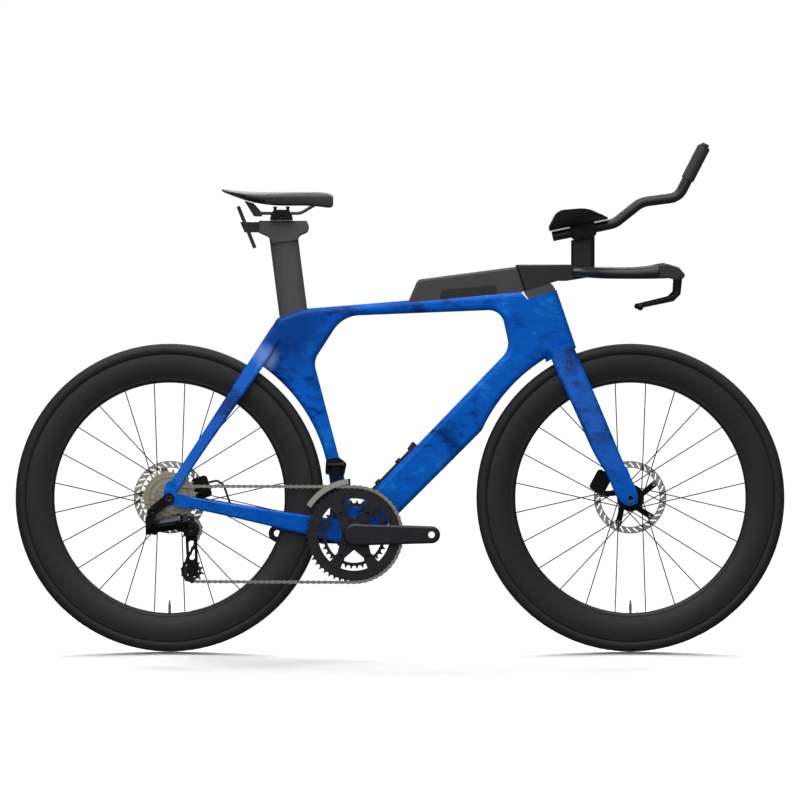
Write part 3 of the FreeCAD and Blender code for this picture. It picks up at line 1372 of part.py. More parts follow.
def chain_path(cage_turn):
    """For each wheel: the angles where the chain meets and leaves it; then the run to the next wheel."""
    wheels = chain_wheels(cage_turn)
    circles = [(c, CHAIN_PITCH * t / (2 * math.pi), s) for c, t, s, _ in wheels]
    count = len(wheels)
    runs = [tangent(circles[i], circles[(i + 1) % count]) for i in range(count)]
    path = []
    for i in range(count):
        arrive = runs[i - 1][1]
        leave = runs[i][0]
        sense = circles[i][2]
        wrap = (leave - arrive) * sense % (2 * math.pi)
        start = polar(circles[i][0], circles[i][1], math.degrees(leave))
        end_circle = circles[(i + 1) % count]
        end = polar(end_circle[0], end_circle[1], math.degrees(runs[i][1]))
        path.append((arrive, wrap, circles[i][1] * wrap, start.distanceToPoint(end)))
    return path


def chain_length(cage_turn):
    return sum(arc + run for _, _, arc, run in chain_path(cage_turn))


def solved_cage_turn():
    """The cage angle at which the chain has a whole, even number of links."""
    low, high = CAGE_TURN - 14.0, CAGE_TURN + 14.0
    links = 2 * round(chain_length(CAGE_TURN) / CHAIN_PITCH / 2)
    rising = chain_length(high) > chain_length(low)
    for _ in range(60):
        middle = (low + high) / 2
        if (chain_length(middle) > links * CHAIN_PITCH) == rising:
            high = middle
        else:
            low = middle
    return (low + high) / 2, links


CAGE_SET, LINKS = solved_cage_turn()
TENSION = polar(GUIDE, CAGE_LENGTH, CAGE_SET)


def chain_rollers():
    """Roller centres one pitch apart all round the chain's path."""
    wheels = chain_wheels(CAGE_SET)
    path = chain_path(CAGE_SET)
    rollers = []
    for number in range(LINKS):
        left = number * CHAIN_PITCH
        for i, (arrive, wrap, arc, run) in enumerate(path):
            centre, teeth, sense, y = wheels[i]
            if left < arc:
                turn = arrive + sense * left / arc * wrap
                rollers.append(polar(centre, pitch_radius(teeth), math.degrees(turn), y))
                break
            left -= arc
            if left < run:
                following = wheels[(i + 1) % len(wheels)]
                leave = arrive + sense * wrap
                meet = path[(i + 1) % len(path)][0]
                start = polar(centre, pitch_radius(teeth), math.degrees(leave), y)
                end = polar(following[0], pitch_radius(following[1]), math.degrees(meet), following[3])
                place = start + (end - start) * (left / run)
                crossed = (left / run - RUN_IN_LINE) / (1 - 2 * RUN_IN_LINE)
                place.y = y + (following[3] - y) * min(max(crossed, 0), 1)
                rollers.append(place)
                break
            left -= run
    return rollers


ROLLERS = chain_rollers()


def seat_phase(centre, teeth, sense_y):
    """The angle of a roller that sits on this wheel, so that a tooth gap is turned to it."""
    on_wheel = [r for r in ROLLERS if abs(math.hypot(r.x - centre.x, r.z - centre.z)
                                          - pitch_radius(teeth)) < 0.02
                and abs(r.y - sense_y) < 0.02]
    middle = on_wheel[len(on_wheel) // 2]
    return math.degrees(math.atan2(middle.z - centre.z, middle.x - centre.x))


def link_plate(y_from, y_to):
    """A chain side plate: two round ends drawn in to a waist."""
    neck = math.radians(LINK_NECK_TURN)
    reach = LINK_RADIUS * math.cos(neck)
    rise = LINK_RADIUS * math.sin(neck)
    middle = CHAIN_PITCH / 2
    corners = [V(reach, y_from, rise), V(CHAIN_PITCH - reach, y_from, rise),
               V(CHAIN_PITCH - reach, y_from, -rise), V(reach, y_from, -rise)]
    edges = [Part.Arc(corners[0], V(middle, y_from, LINK_WAIST), corners[1]).toShape(),
             Part.Arc(corners[1], V(CHAIN_PITCH + LINK_RADIUS, y_from, 0), corners[2]).toShape(),
             Part.Arc(corners[2], V(middle, y_from, -LINK_WAIST), corners[3]).toShape(),
             Part.Arc(corners[3], V(-LINK_RADIUS, y_from, 0), corners[0]).toShape()]
    return Part.Face(Part.Wire(edges)).extrude(V(0, y_to - y_from, 0))


def inner_link():
    body = link_plate(LINK_INSIDE, LINK_INSIDE + LINK_PLATE)
    body = body.fuse([link_plate(-LINK_INSIDE - LINK_PLATE, -LINK_INSIDE)]
                     + [disc(V(x, 0, 0), ROLLER_RADIUS, -LINK_INSIDE, LINK_INSIDE) for x in (0, CHAIN_PITCH)])
    holes = [disc(V(x, 0, 0), LINK_PIN + RUN, -9, 9) for x in (0, CHAIN_PITCH)]
    return body.cut(holes)


def outer_link():
    low = LINK_INSIDE + LINK_PLATE + SEAT
    high = low + LINK_PLATE
    body = link_plate(low, high)
    return body.fuse([link_plate(-high, -low)]
                     + [disc(V(x, 0, 0), LINK_PIN, -high, high) for x in (0, CHAIN_PITCH)])


def placed(shape, origin, along, across):
    """A copy of a piece drawn at the origin, with its X and Y turned to two given directions."""
    third = along.cross(across)
    matrix = FreeCAD.Matrix(along.x, across.x, third.x, origin.x, along.y, across.y, third.y, origin.y,
                            along.z, across.z, third.z, origin.z, 0, 0, 0, 1)
    copy = shape.copy()
    copy.transformShape(matrix)
    return copy


def chain():
    kinds = (inner_link(), outer_link())
    made = []
    for number, start in enumerate(ROLLERS):
        end = ROLLERS[(number + 1) % LINKS]
        along = (end - start).normalize()
        across = (Y_AXIS - along * along.y).normalize()
        origin = (start + end) * 0.5 - along * (CHAIN_PITCH / 2)
        made.append(placed(kinds[number % 2], origin, along, across))
    return Part.makeCompound(made)


def spider_places(radius):
    return [polar(BB, radius, turn) for turn in (SPIDER_TURN, 180 - SPIDER_TURN, 180 + SPIDER_TURN,
                                                 -SPIDER_TURN)]


def chainring(teeth, y, phase, bore):
    """A ring with four tabs that reach in to the spider bolts."""
    half = RING_THICKNESS / 2
    body = sprocket(BB, teeth, phase, y - half, y + half)
    window = disc(BB, bore, y - 5, y + 5)
    for place in spider_places(1.0):
        way = (place - BB).normalize()
        tab = capsule(BB + way * SPIDER_RADIUS, BB + way * (bore + 14), 9.0, 17.0, y - 6, y + 6)
        window = window.cut(tab)
    body = body.cut(window)
    return body.cut([disc(p, RING_BOLT_RADIUS + SEAT, y - 9, y + 9) for p in spider_places(SPIDER_RADIUS)])


def outer_chainring():
    phase = seat_phase(BB, OUTER_TEETH, RING_Y)
    return chainring(OUTER_TEETH, RING_Y, phase, pitch_radius(OUTER_TEETH) - OUTER_RING_BAND)


def inner_chainring():
    return chainring(INNER_TEETH, RING_Y + RING_SPACING, 0, pitch_radius(INNER_TEETH) - INNER_RING_BAND)


PEDAL = bb(CRANK_LENGTH, 0)


def crank_arm_body(end, side):
    """A tapered arm with a rounded outer face and the pedal thread in its end."""
    inner, outer = side * CRANK_OFFSET, side * (CRANK_OFFSET + CRANK_THICKNESS)
    body = capsule(BB, end, CRANK_ROOT_RADIUS, CRANK_TIP_RADIUS, inner, outer)
    body = body.makeFillet(5, [e for e in body.Edges if abs(e.CenterOfMass.y - outer) < 0.1])
    return body.cut(disc(end, PEDAL_THREAD_RADIUS, inner - side, outer + side))


def right_crank():
    """The drive-side arm with its four-arm spider, ring bolts and the spindle."""
    arm = crank_arm_body(PEDAL, -1)
    near = RING_Y + RING_THICKNESS / 2 + SEAT
    far = RING_Y + RING_SPACING - RING_THICKNESS / 2 - SEAT
    spider = [capsule(BB, p, 26.0, 9.0, near, far) for p in spider_places(SPIDER_RADIUS)]
    bolts = [disc(p, RING_BOLT_RADIUS, RING_Y - 3.5, RING_Y + RING_SPACING + 3.5)
             for p in spider_places(SPIDER_RADIUS)]
    boss = disc(BB, 29.0, -CRANK_OFFSET - 1, far)
    body = arm.fuse(spider + bolts + [boss])
    room = disc(BB, CUP_FLANGE_RADIUS + 1.5, -BB_SHELL_WIDTH / 2 - CUP_FLANGE - FREE, 0)
    spindle = disc(BB, SPINDLE_RADIUS, -CRANK_OFFSET - 6, CRANK_OFFSET + CRANK_THICKNESS - 4)
    return body.cut(room).fuse(spindle).removeSplitter()


def left_crank():
    body = crank_arm_body(bb(-CRANK_LENGTH, 0), 1)
    boss = disc(BB, 22.0, BB_SHELL_WIDTH / 2 + CUP_FLANGE + FREE, CRANK_OFFSET + 1)
    return body.fuse(boss).cut(disc(BB, SPINDLE_RADIUS + SEAT / 2, 0,
                                    CRANK_OFFSET + CRANK_THICKNESS + 1)).removeSplitter()


def cassette():
    """Twelve cogs on a freehub body, largest next to the spokes."""
    phase = seat_phase(REAR_AXLE, COGS[CHAIN_COG], COG_Y)
    made = []
    for number, teeth in enumerate(COGS):
        y = -(SMALLEST_COG_OFFSET - number * COG_PITCH)
        cog = sprocket(REAR_AXLE, teeth, phase, y - COG_THICKNESS / 2, y + COG_THICKNESS / 2)
        window = ring(REAR_AXLE, pitch_radius(teeth) - 11, FREEHUB_RADIUS + 7, y - 5,
                      y + 5) if teeth > 20 else None
        if window:
            arms = [capsule(polar(REAR_AXLE, FREEHUB_RADIUS, a),
                            polar(REAR_AXLE, pitch_radius(teeth), a + 20), 5, 4,
                            y - 6, y + 6) for a in range(0, 360, 72)]
            cog = cog.cut(window.cut(arms))
        made.append(cog.cut(disc(REAR_AXLE, FREEHUB_RADIUS + SEAT / 2, y - 5, y + 5)))
        if number:
            made.append(ring(REAR_AXLE, FREEHUB_RADIUS + 3 if teeth > 12 else FREEHUB_RADIUS + 0.8,
                             FREEHUB_RADIUS + SEAT / 2,
                             y - COG_PITCH + COG_THICKNESS / 2 + SEAT / 2, y - COG_THICKNESS / 2 - SEAT / 2))
    inner_end = -(SMALLEST_COG_OFFSET - (len(COGS) - 1) * COG_PITCH) + COG_THICKNESS
    body = disc(REAR_AXLE, FREEHUB_RADIUS, -SMALLEST_COG_OFFSET - 3, inner_end)
    made.append(body.cut(disc(REAR_AXLE, SLEEVE_RADIUS + RUN, -99, 0)).cut(
        disc(REAR_AXLE, END_CAP_RADIUS + FREE, -99, -REAR_FACE + END_CAP + FREE)))
    return Part.makeCompound(made)


# Rear derailleur

SLANT = math.radians(DERAILLEUR_SLANT)
PIN_WAY = V(0, math.sin(SLANT), math.cos(SLANT))
IN_WAY = V(0, math.cos(SLANT), -math.sin(SLANT))
AHEAD = V(1, 0, 0)
LINK_TURN = math.radians(DERAILLEUR_REST)
LINK_REACH = (AHEAD * math.cos(LINK_TURN) + IN_WAY * math.sin(LINK_TURN)) * DERAILLEUR_LINK
KNUCKLE_PINS = V(GUIDE.x - 26, COG_Y - 24, GUIDE.z + 15)
BRACKET_PINS = KNUCKLE_PINS - LINK_REACH
HANGER_BOLT = rear(-HANGER_BACK, -HANGER_DROP)
HANGER_Y = -REAR_FACE - DROPOUT_THICKNESS - SEAT


def slanted(shape, origin):
    """A piece drawn flat, stood on the derailleur's slanted pins."""
    return placed(shape, origin, AHEAD, PIN_WAY)


def pin_place(side):
    """An outer or inner pin, in the slanted frame."""
    return V(0, 0, side * PIN_SPACING / 2)


def derailleur_hanger():
    outer = HANGER_Y - HANGER_THICKNESS
    body = capsule(REAR_AXLE, HANGER_BOLT, 12.0, 10.0, outer, HANGER_Y)
    return body.cut([disc(REAR_AXLE, AXLE_RADIUS + SEAT, outer - 1, HANGER_Y + 1),
                     disc(HANGER_BOLT, HANGER_BOLT_RADIUS + SEAT, outer - 1, HANGER_Y + 1)])


def clevis(web_side):
    """Two ears on a web, with both link pins between them."""
    inner = LINK_HEIGHT / 2 + FREE
    outer = inner + EAR_THICKNESS
    ears = [capsule(pin_place(1), pin_place(-1), EAR_RADIUS, EAR_RADIUS, low, high)
            for low, high in ((inner, outer), (-outer, -inner))]
    gap = web_side * (EAR_RADIUS + 1)
    half = PIN_SPACING / 2 + EAR_RADIUS - 1
    xs = sorted((gap, gap + web_side * WEB_DEPTH))
    web = slab(V(xs[0], -outer, -half), V(xs[1], outer, half))
    ties = [slab(V(min(0, gap), low, -half + 4), V(max(0, gap), high, half - 4)) for low,
            high in ((inner, outer), (-outer, -inner))]
    pins = [disc(pin_place(side), LINK_PIVOT_RADIUS, -outer, outer) for side in (1, -1)]
    return fuse(ears[0], ears[1], web, *ties, *pins)


def derailleur_bracket():
    """The fixed end of the derailleur, bolted to the hanger."""
    ears = slanted(clevis(-1), BRACKET_PINS)
    outer = HANGER_Y - HANGER_THICKNESS - SEAT
    web_middle = BRACKET_PINS - AHEAD * (EAR_RADIUS + 1 + WEB_DEPTH / 2)
    arm = capsule(HANGER_BOLT, web_middle, 11.0, WEB_DEPTH / 2, outer - 11, outer)
    bolt = disc(HANGER_BOLT, HANGER_BOLT_RADIUS, outer - 11, HANGER_Y - 1)
    return fuse(ears, arm, bolt)


def derailleur_link(side, thickness):
    """One bar of the parallelogram, from a bracket pin to a knuckle pin."""
    start = V(0, 0, 0)
    end = V(LINK_REACH.dot(AHEAD), 0, -LINK_REACH.dot(IN_WAY))
    half = LINK_HEIGHT / 2
    body = capsule(start, end, thickness, thickness, -half, half)
    holes = [disc(p, LINK_PIVOT_RADIUS + RUN, -half - 1, half + 1) for p in (start, end)]
    return slanted(body.cut(holes), BRACKET_PINS - IN_WAY * (side * PIN_SPACING / 2))


def derailleur_knuckle():
    """The moving end of the parallelogram, with the housing that the cage turns in."""
    ears = slanted(clevis(1), KNUCKLE_PINS)
    inner = COG_Y - CAGE_HALF - 4.5
    housing = disc(GUIDE, KNUCKLE_RADIUS, inner - 17, inner)
    return fuse(ears, housing).cut(disc(GUIDE, CAGE_PIVOT_RADIUS + RUN, inner - 14, inner + 1))


def derailleur_cage():
    """Two plates round the pulleys, on a pivot that turns in the knuckle."""
    plates = []
    for side in (-1, 1):
        near = COG_Y + side * (CAGE_HALF - CAGE_PLATE)
        far = COG_Y + side * CAGE_HALF
        low, high = sorted((near, far))
        body = capsule(GUIDE, TENSION, 13.0, 12.0, low, high)
        way = (TENSION - GUIDE).normalize()
        body = body.cut(capsule(GUIDE + way * 32, GUIDE + way * 62, 6.5, 6.0, low - 1, high + 1))
        plates.append(body)
    outer = COG_Y - CAGE_HALF
    pins = [disc(p, PULLEY_PIN, COG_Y - CAGE_HALF, COG_Y + CAGE_HALF) for p in (GUIDE, TENSION)]
    pivot = disc(GUIDE, CAGE_PIVOT_RADIUS, outer - 17.5, outer)
    collar = disc(GUIDE, 10.0, outer - 4.2, outer)
    return fuse(plates[0], plates[1], collar, pivot, *pins)


def pulley(centre):
    phase = seat_phase(centre, PULLEY_TEETH, COG_Y)
    teeth = sprocket(centre, PULLEY_TEETH, phase, COG_Y - 0.9, COG_Y + 0.9)
    half = CAGE_HALF - CAGE_PLATE - FREE
    hub_part = disc(centre, 6.0, COG_Y - half, COG_Y + half)
    holes = [disc(polar(centre, 11.5, a), 2.2, COG_Y - 5, COG_Y + 5) for a in range(0, 360, 72)]
    return teeth.fuse(hub_part).cut(holes + [disc(centre, PULLEY_PIN + RUN, COG_Y - 9, COG_Y + 9)])


# Front derailleur

SWING = bb(-FD_PIVOT_BACK, FD_PIVOT_RISE, -FD_PIVOT_OUT)


def front_derailleur_body(frame_body):
    """The motor housing beside the seat tube, with two ears that hold the cage's hinge pin."""
    outer = -FD_PIVOT_OUT + FD_HOUSING_GAP
    corners = [(bb(-64, FD_PIVOT_RISE - 20), 6), (bb(-22, FD_PIVOT_RISE - 24), 6),
               (bb(-16, FD_PIVOT_RISE + 4), 9),
               (bb(-34, FD_PIVOT_RISE + 18), 9), (bb(-62, FD_PIVOT_RISE + 12), 7)]
    body = plate(corners, outer, -4)
    for x in (SWING.x - FD_BARREL / 2 - FREE - 5, SWING.x + FD_BARREL / 2 + FREE):
        start = V(x, SWING.y, SWING.z)
        ear = rod(start, start + V(5, 0, 0), 6)
        tie = slab(V(x, SWING.y, SWING.z - 6), V(x + 5, outer + 2, SWING.z + 6))
        body = body.fuse([ear, tie])
    half = FD_BARREL / 2 + 4
    pin = rod(SWING - AHEAD * half, SWING + AHEAD * half, 2.5)
    return biggest(body.fuse(pin).removeSplitter().cut(frame_body))


def cage_sector(inner, outer, first, last, y_from, y_to):
    """Part of a ring about the crank axis, between two angles."""
    far = outer * 1.6
    wedge = plate([(BB, 0), (polar(BB, far, first), 0), (polar(BB, far, (first + last) / 2), 0),
                   (polar(BB, far, last), 0)],
                  y_from - 1, y_to + 1)
    return ring(BB, outer, inner, y_from, y_to).common(wedge)


def front_derailleur_cage():
    """Two curved plates either side of the chain, hung from the hinge by a short arm."""
    tip = pitch_radius(OUTER_TEETH) + TOOTH_RISE
    top = tip + FD_CAGE_HEIGHT
    outer = (RING_Y - FD_CAGE_HALF, RING_Y - FD_CAGE_HALF + FD_PLATE)
    inner = (RING_Y + FD_CAGE_HALF - FD_PLATE, RING_Y + FD_CAGE_HALF)
    outer_plate = cage_sector(tip + 3.2, top, 96, 148, *outer)
    inner_plate = cage_sector(tip - 10, top, 94, 142, *inner)
    bridge = cage_sector(top - 3, top, 100, 114, outer[0], inner[1])
    tail = rod(polar(BB, top - 4, 140, outer[0]), polar(BB, top - 4, 140, inner[1]), 2.0)
    foot = polar(BB, top - 2, 107)
    barrel = rod(SWING - AHEAD * (FD_BARREL / 2), SWING + AHEAD * (FD_BARREL / 2), 5.5)
    arm = slab(V(SWING.x - 9, SWING.y - 3.5, foot.z - 2), V(SWING.x + 9, SWING.y + 3.5, SWING.z))
    body = fuse(outer_plate, inner_plate, bridge, tail, arm, barrel)
    return body.cut(rod(SWING - AHEAD * FD_BARREL, SWING + AHEAD * FD_BARREL, 2.5 + RUN))


def rear_brake_hose(frame_body, caliper_body):
    """The short hose from the rear caliper into the left chainstay."""
    leave = brake_local(REAR_AXLE, REAR_CALIPER_ANGLE, ROTOR_RADIUS + CALIPER_BRIDGE - 2, 6)
    y = REAR_FACE - REAR_ROTOR_INSET + 8
    start = V(leave.x, y, leave.z)
    port = chainstay_point(HOSE_PORT, 0)
    points = [start, start + V(20, 0, 5), V(port.x - 8, y - 1, start.z - 4), V(port.x + 8, y - 4, port.z + 6)]
    return biggest(tube(points, [12, 16], HOSE_RADIUS).cut([frame_body, caliper_body]))


def all_parts():
    """Every piece of the bike by its name."""
    made = {}
    made["frame"] = frame()
    made["seat_clamp_wedge"] = seat_wedge()
    made["frame_bearings"] = frame_bearings()
    made["headset_cover"] = headset_cover()
    made["top_tube_box"], made["top_tube_box_base"] = top_tube_box(made["frame"])
    made["bottle_rail"] = bottle_rail(made["frame"])
    made["seatpost"] = seatpost()
    made["number_holder"] = number_holder(made["seatpost"])
    made["saddle_rails"] = saddle_rails()
    made["saddle_clamp"] = saddle_clamp()
    made["saddle"] = saddle()
    made["fork"] = fork()
    made["base_bar"] = base_bar()
    made["lever_brackets"] = pair(lever_bracket())
    made["left_brake_lever"] = brake_lever()
    made["right_brake_lever"] = mirrored(made["left_brake_lever"])
    made["riser"] = riser(made["base_bar"])
    made["extension_clamp"] = extension_clamp()
    made["extensions"] = pair(extension_with_bore())
    made["extension_grips"] = pair(extension_grip())
    made["left_shift_button"] = shift_button()
    made["right_shift_button"] = mirrored(made["left_shift_button"])
    made["armrest_cups"] = pair(armrest_cup())
    made["armrest_pads"] = pair(armrest_pad())
    rotor_places = {"front": FRONT_FACE - FRONT_ROTOR_INSET, "rear": REAR_FACE - REAR_ROTOR_INSET}
    for end, centre, flanges, right_end, left_end in (
            ("front", FRONT_AXLE, FRONT_FLANGES, -FRONT_FACE + END_CAP + FREE, FRONT_FACE - END_CAP - FREE),
            ("rear", REAR_AXLE, REAR_FLANGES, REAR_FLANGES[0] - 4.2, REAR_FACE - END_CAP - FREE)):
        made[end + "_tyre"] = tyre(centre)
        made[end + "_rim"] = rim(centre, spoke_holes(centre, flanges, True))
        made[end + "_spokes"] = spokes(centre, flanges)
        made[end + "_hub"] = hub(centre, flanges, right_end, left_end)
        made[end + "_rotor"] = rotor(centre, rotor_places[end])
    made["front_thru_axle"] = axle_and_sleeve(FRONT_AXLE, FRONT_FACE, -FRONT_FACE - 10,
                                              FRONT_FACE + FORK_TIP_THICKNESS + FREE)
    made["rear_thru_axle"] = axle_and_sleeve(REAR_AXLE, REAR_FACE, -REAR_FACE - DROPOUT_THICKNESS - 5,
                                             REAR_FACE + DROPOUT_THICKNESS + FREE)
    for end, centre, degrees, carrier in (("front", FRONT_AXLE, FRONT_CALIPER_ANGLE, "fork"),
                                          ("rear", REAR_AXLE, REAR_CALIPER_ANGLE, "frame")):
        y = rotor_places[end]
        made[end + "_brake_caliper"] = biggest(caliper(centre, degrees, y).cut(made[carrier]))
        made[end + "_inner_brake_pad"] = brake_pad(centre, degrees, y, -1)
        made[end + "_outer_brake_pad"] = brake_pad(centre, degrees, y, 1)
    made["rear_brake_hose"] = rear_brake_hose(made["frame"], made["rear_brake_caliper"])
    made["right_crank_arm"] = right_crank()
    made["left_crank_arm"] = left_crank()
    made["outer_chainring"] = outer_chainring()
    made["inner_chainring"] = inner_chainring()
    made["cassette"] = cassette()
    made["chain"] = chain()
    made["derailleur_hanger"] = derailleur_hanger()
    made["rear_derailleur_bracket"] = derailleur_bracket()
    made["rear_derailleur_outer_link"] = derailleur_link(1, OUTER_LINK_HALF)
    made["rear_derailleur_inner_link"] = derailleur_link(-1, INNER_LINK_HALF)
    made["rear_derailleur_knuckle"] = derailleur_knuckle()
    made["rear_derailleur_cage"] = derailleur_cage()
    made["guide_pulley"] = pulley(GUIDE)
    made["tension_pulley"] = pulley(TENSION)
    made["front_derailleur_body"] = front_derailleur_body(made["frame"])
    made["front_derailleur_cage"] = front_derailleur_cage()
    return made


if __name__ == "__main__":
    os.makedirs("parts", exist_ok=True)
    for name, shape in all_parts().items():
        print(name, shape.isValid(), round(shape.Volume), len(shape.Solids), len(shape.Faces))
        shape.exportStep(f"parts/{name}.step")
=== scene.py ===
"""Finishes, soft pieces and small fittings of a time trial bike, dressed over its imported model."""

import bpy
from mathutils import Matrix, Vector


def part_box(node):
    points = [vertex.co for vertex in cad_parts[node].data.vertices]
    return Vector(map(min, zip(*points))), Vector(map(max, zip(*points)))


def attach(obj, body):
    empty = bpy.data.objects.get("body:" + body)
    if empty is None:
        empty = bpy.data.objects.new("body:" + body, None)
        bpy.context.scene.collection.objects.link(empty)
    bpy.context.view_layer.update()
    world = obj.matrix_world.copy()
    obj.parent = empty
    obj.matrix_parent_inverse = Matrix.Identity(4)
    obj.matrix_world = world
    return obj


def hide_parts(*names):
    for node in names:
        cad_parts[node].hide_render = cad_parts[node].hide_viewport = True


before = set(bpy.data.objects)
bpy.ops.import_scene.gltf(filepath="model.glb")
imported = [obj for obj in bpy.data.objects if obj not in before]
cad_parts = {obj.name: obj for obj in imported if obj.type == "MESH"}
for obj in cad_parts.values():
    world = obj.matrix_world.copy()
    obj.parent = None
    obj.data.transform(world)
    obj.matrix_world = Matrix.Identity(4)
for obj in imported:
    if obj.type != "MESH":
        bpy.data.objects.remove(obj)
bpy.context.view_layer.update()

import math

import bmesh
import bpy
from bpy.props import FloatProperty, FloatVectorProperty, PointerProperty
from mathutils import Vector

bl_info = {
    "name": "Time trial bike",
    "version": (1, 0, 0),
    "blender": (4, 5, 0),
    "location": "3D View > Sidebar > Bike",
    "description": "Paint, carbon, rubber, metal, saddle and armrests of a time trial bike",
    "category": "Object",
}


def linear(code):
    """An sRGB hex colour as linear red, green and blue."""
    parts = [int(code[i:i + 2], 16) / 255 for i in (1, 3, 5)]
    return [c / 12.92 if c <= 0.04045 else ((c + 0.055) / 1.055) ** 2.4 for c in parts]


def per_metre(mm):
    """A texture scale from the real size of one feature."""
    return 1000.0 / mm


def middle(node):
    low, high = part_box(node)
    return (low + high) / 2


FRONT_AXLE = middle("front_rim")
REAR_AXLE = middle("rear_rim")
CRANK_AXIS = middle("outer_chainring")
# Where the saddle's plastic struts end and the bare rails begin, and the length that both share.
SADDLE_STRUT_END, SADDLE_STRUT_SHARED = -0.3152, 0.0145
RAIL_SPREAD, RAIL_RADIUS = 0.022, 0.0036
# Where the front derailleur's bright outer plate ends: its black hinge arm above, and its inner side.
CAGE_TOP, CAGE_SIDE = 0.3825, -0.0515
# Radii that part a valve from its tyre, and a rotor's dark carrier from its steel track.
VALVE_TOP, ROTOR_CARRIER = 0.3085, 0.0648
# A face is on the flat of a sprocket or a link when its normal points this far to the side.
FLAT_SIDE = 0.8
# The chain round the pulleys is painted dark as shadow: this far ahead of the derailleur cage's middle and above it.
SHADE_AHEAD, SHADE_ABOVE = 0.006, 0.075
# Placed marks in the paint: middle, reach of the full tone, reach of its fade, strength. The darker one at the seat
# cluster is partly a cloud in the paint and partly painted shade; the pale one at the seat stay root is a painted
# highlight.
SEAT_CLUSTER_CLOUD_AND_SHADE = ((-0.242, 0.0, 0.708), 0.03, 0.13, 0.75)
PAINTED_HIGHLIGHT_PATCH = ((-0.303, 0.0, 0.648), 0.02, 0.046, 0.62)


def colour(name, words, code):
    return FloatVectorProperty(name=name, description=words, subtype="COLOR", size=3, min=0, max=1,
                               default=linear(code))


def length(name, words, mm):
    return FloatProperty(name=name, description=words, subtype="DISTANCE", unit="LENGTH", min=0, default=mm / 1000)


class BikePaintSettings(bpy.types.PropertyGroup):
    deep: colour("Deep blue", "Darkest cloud in the paint", "#003684")
    blue: colour("Blue", "Main colour of the frame and fork", "#0062D0")
    light: colour("Light blue", "Lightest cloud in the paint", "#1A8AF0")
    # The pale patch colour is a painted highlight on the seat stay root, where the curved surface would catch the
    # light.
    painted_highlight: colour("Painted highlight", "Pale painted highlight on the seat stay root", "#A6C8FF")
    cloud: length("Cloud size", "Width of one cloud in the paint", 110)


class BikeTrimSettings(bpy.types.PropertyGroup):
    carbon: colour("Carbon", "Matte carbon of rims, bars and cups", "#1B1B1D")
    post: colour("Seatpost", "Matte grey carbon of the seatpost", "#4A494B")
    box: colour("Box", "Moulded plastic of the top tube box", "#3E3C3C")
    rubber: colour("Rubber", "Tyres and grips", "#1D1D1D")
    steel: colour("Steel", "Chain and rotor tracks", "#CBC8C1")
    cog: colour("Cogs", "Hard plating on the cassette's cogs", "#C4BBA6")
    graphite: colour("Graphite", "Anodised crank and rings", "#3E3D40")


class BikeSoftSettings(bpy.types.PropertyGroup):
    channel: length("Saddle channel", "Depth of the dip along the saddle", 2.5)
    pad_edge: length("Pad edge", "How far the armrest pad's edge draws in", 3)


def add(tree, kind, values=None, links=None, **settings):
    """Adds one node with its settings, its socket values and its links from other nodes' outputs."""
    made = tree.nodes.new(kind)
    for name, value in settings.items():
        setattr(made, name, value)
    for socket, value in (values or {}).items():
        made.inputs[socket].default_value = value
    for socket, output in (links or {}).items():
        tree.links.new(output, made.inputs[socket])
    return made


def start_material(name, values):
    """A new material, its node tree, its shader and the coordinates of the object in metres."""
    material = bpy.data.materials.new(name)
    material.use_nodes = True
    tree = material.node_tree
    tree.nodes.clear()
    shader = add(tree, "ShaderNodeBsdfPrincipled", values)
    add(tree, "ShaderNodeOutputMaterial", links={"Surface": shader.outputs["BSDF"]})
    place = add(tree, "ShaderNodeTexCoord").outputs["Object"]
    return material, tree, shader, place


def stops(made, *places):
    """Sets the stops of a colour ramp: place and linear colour."""
    ramp = made.color_ramp
    while len(ramp.elements) < len(places):
        ramp.elements.new(0.5)
    for element, (at, shade) in zip(ramp.elements, places):
        element.position = at
        element.color = (*shade, 1)


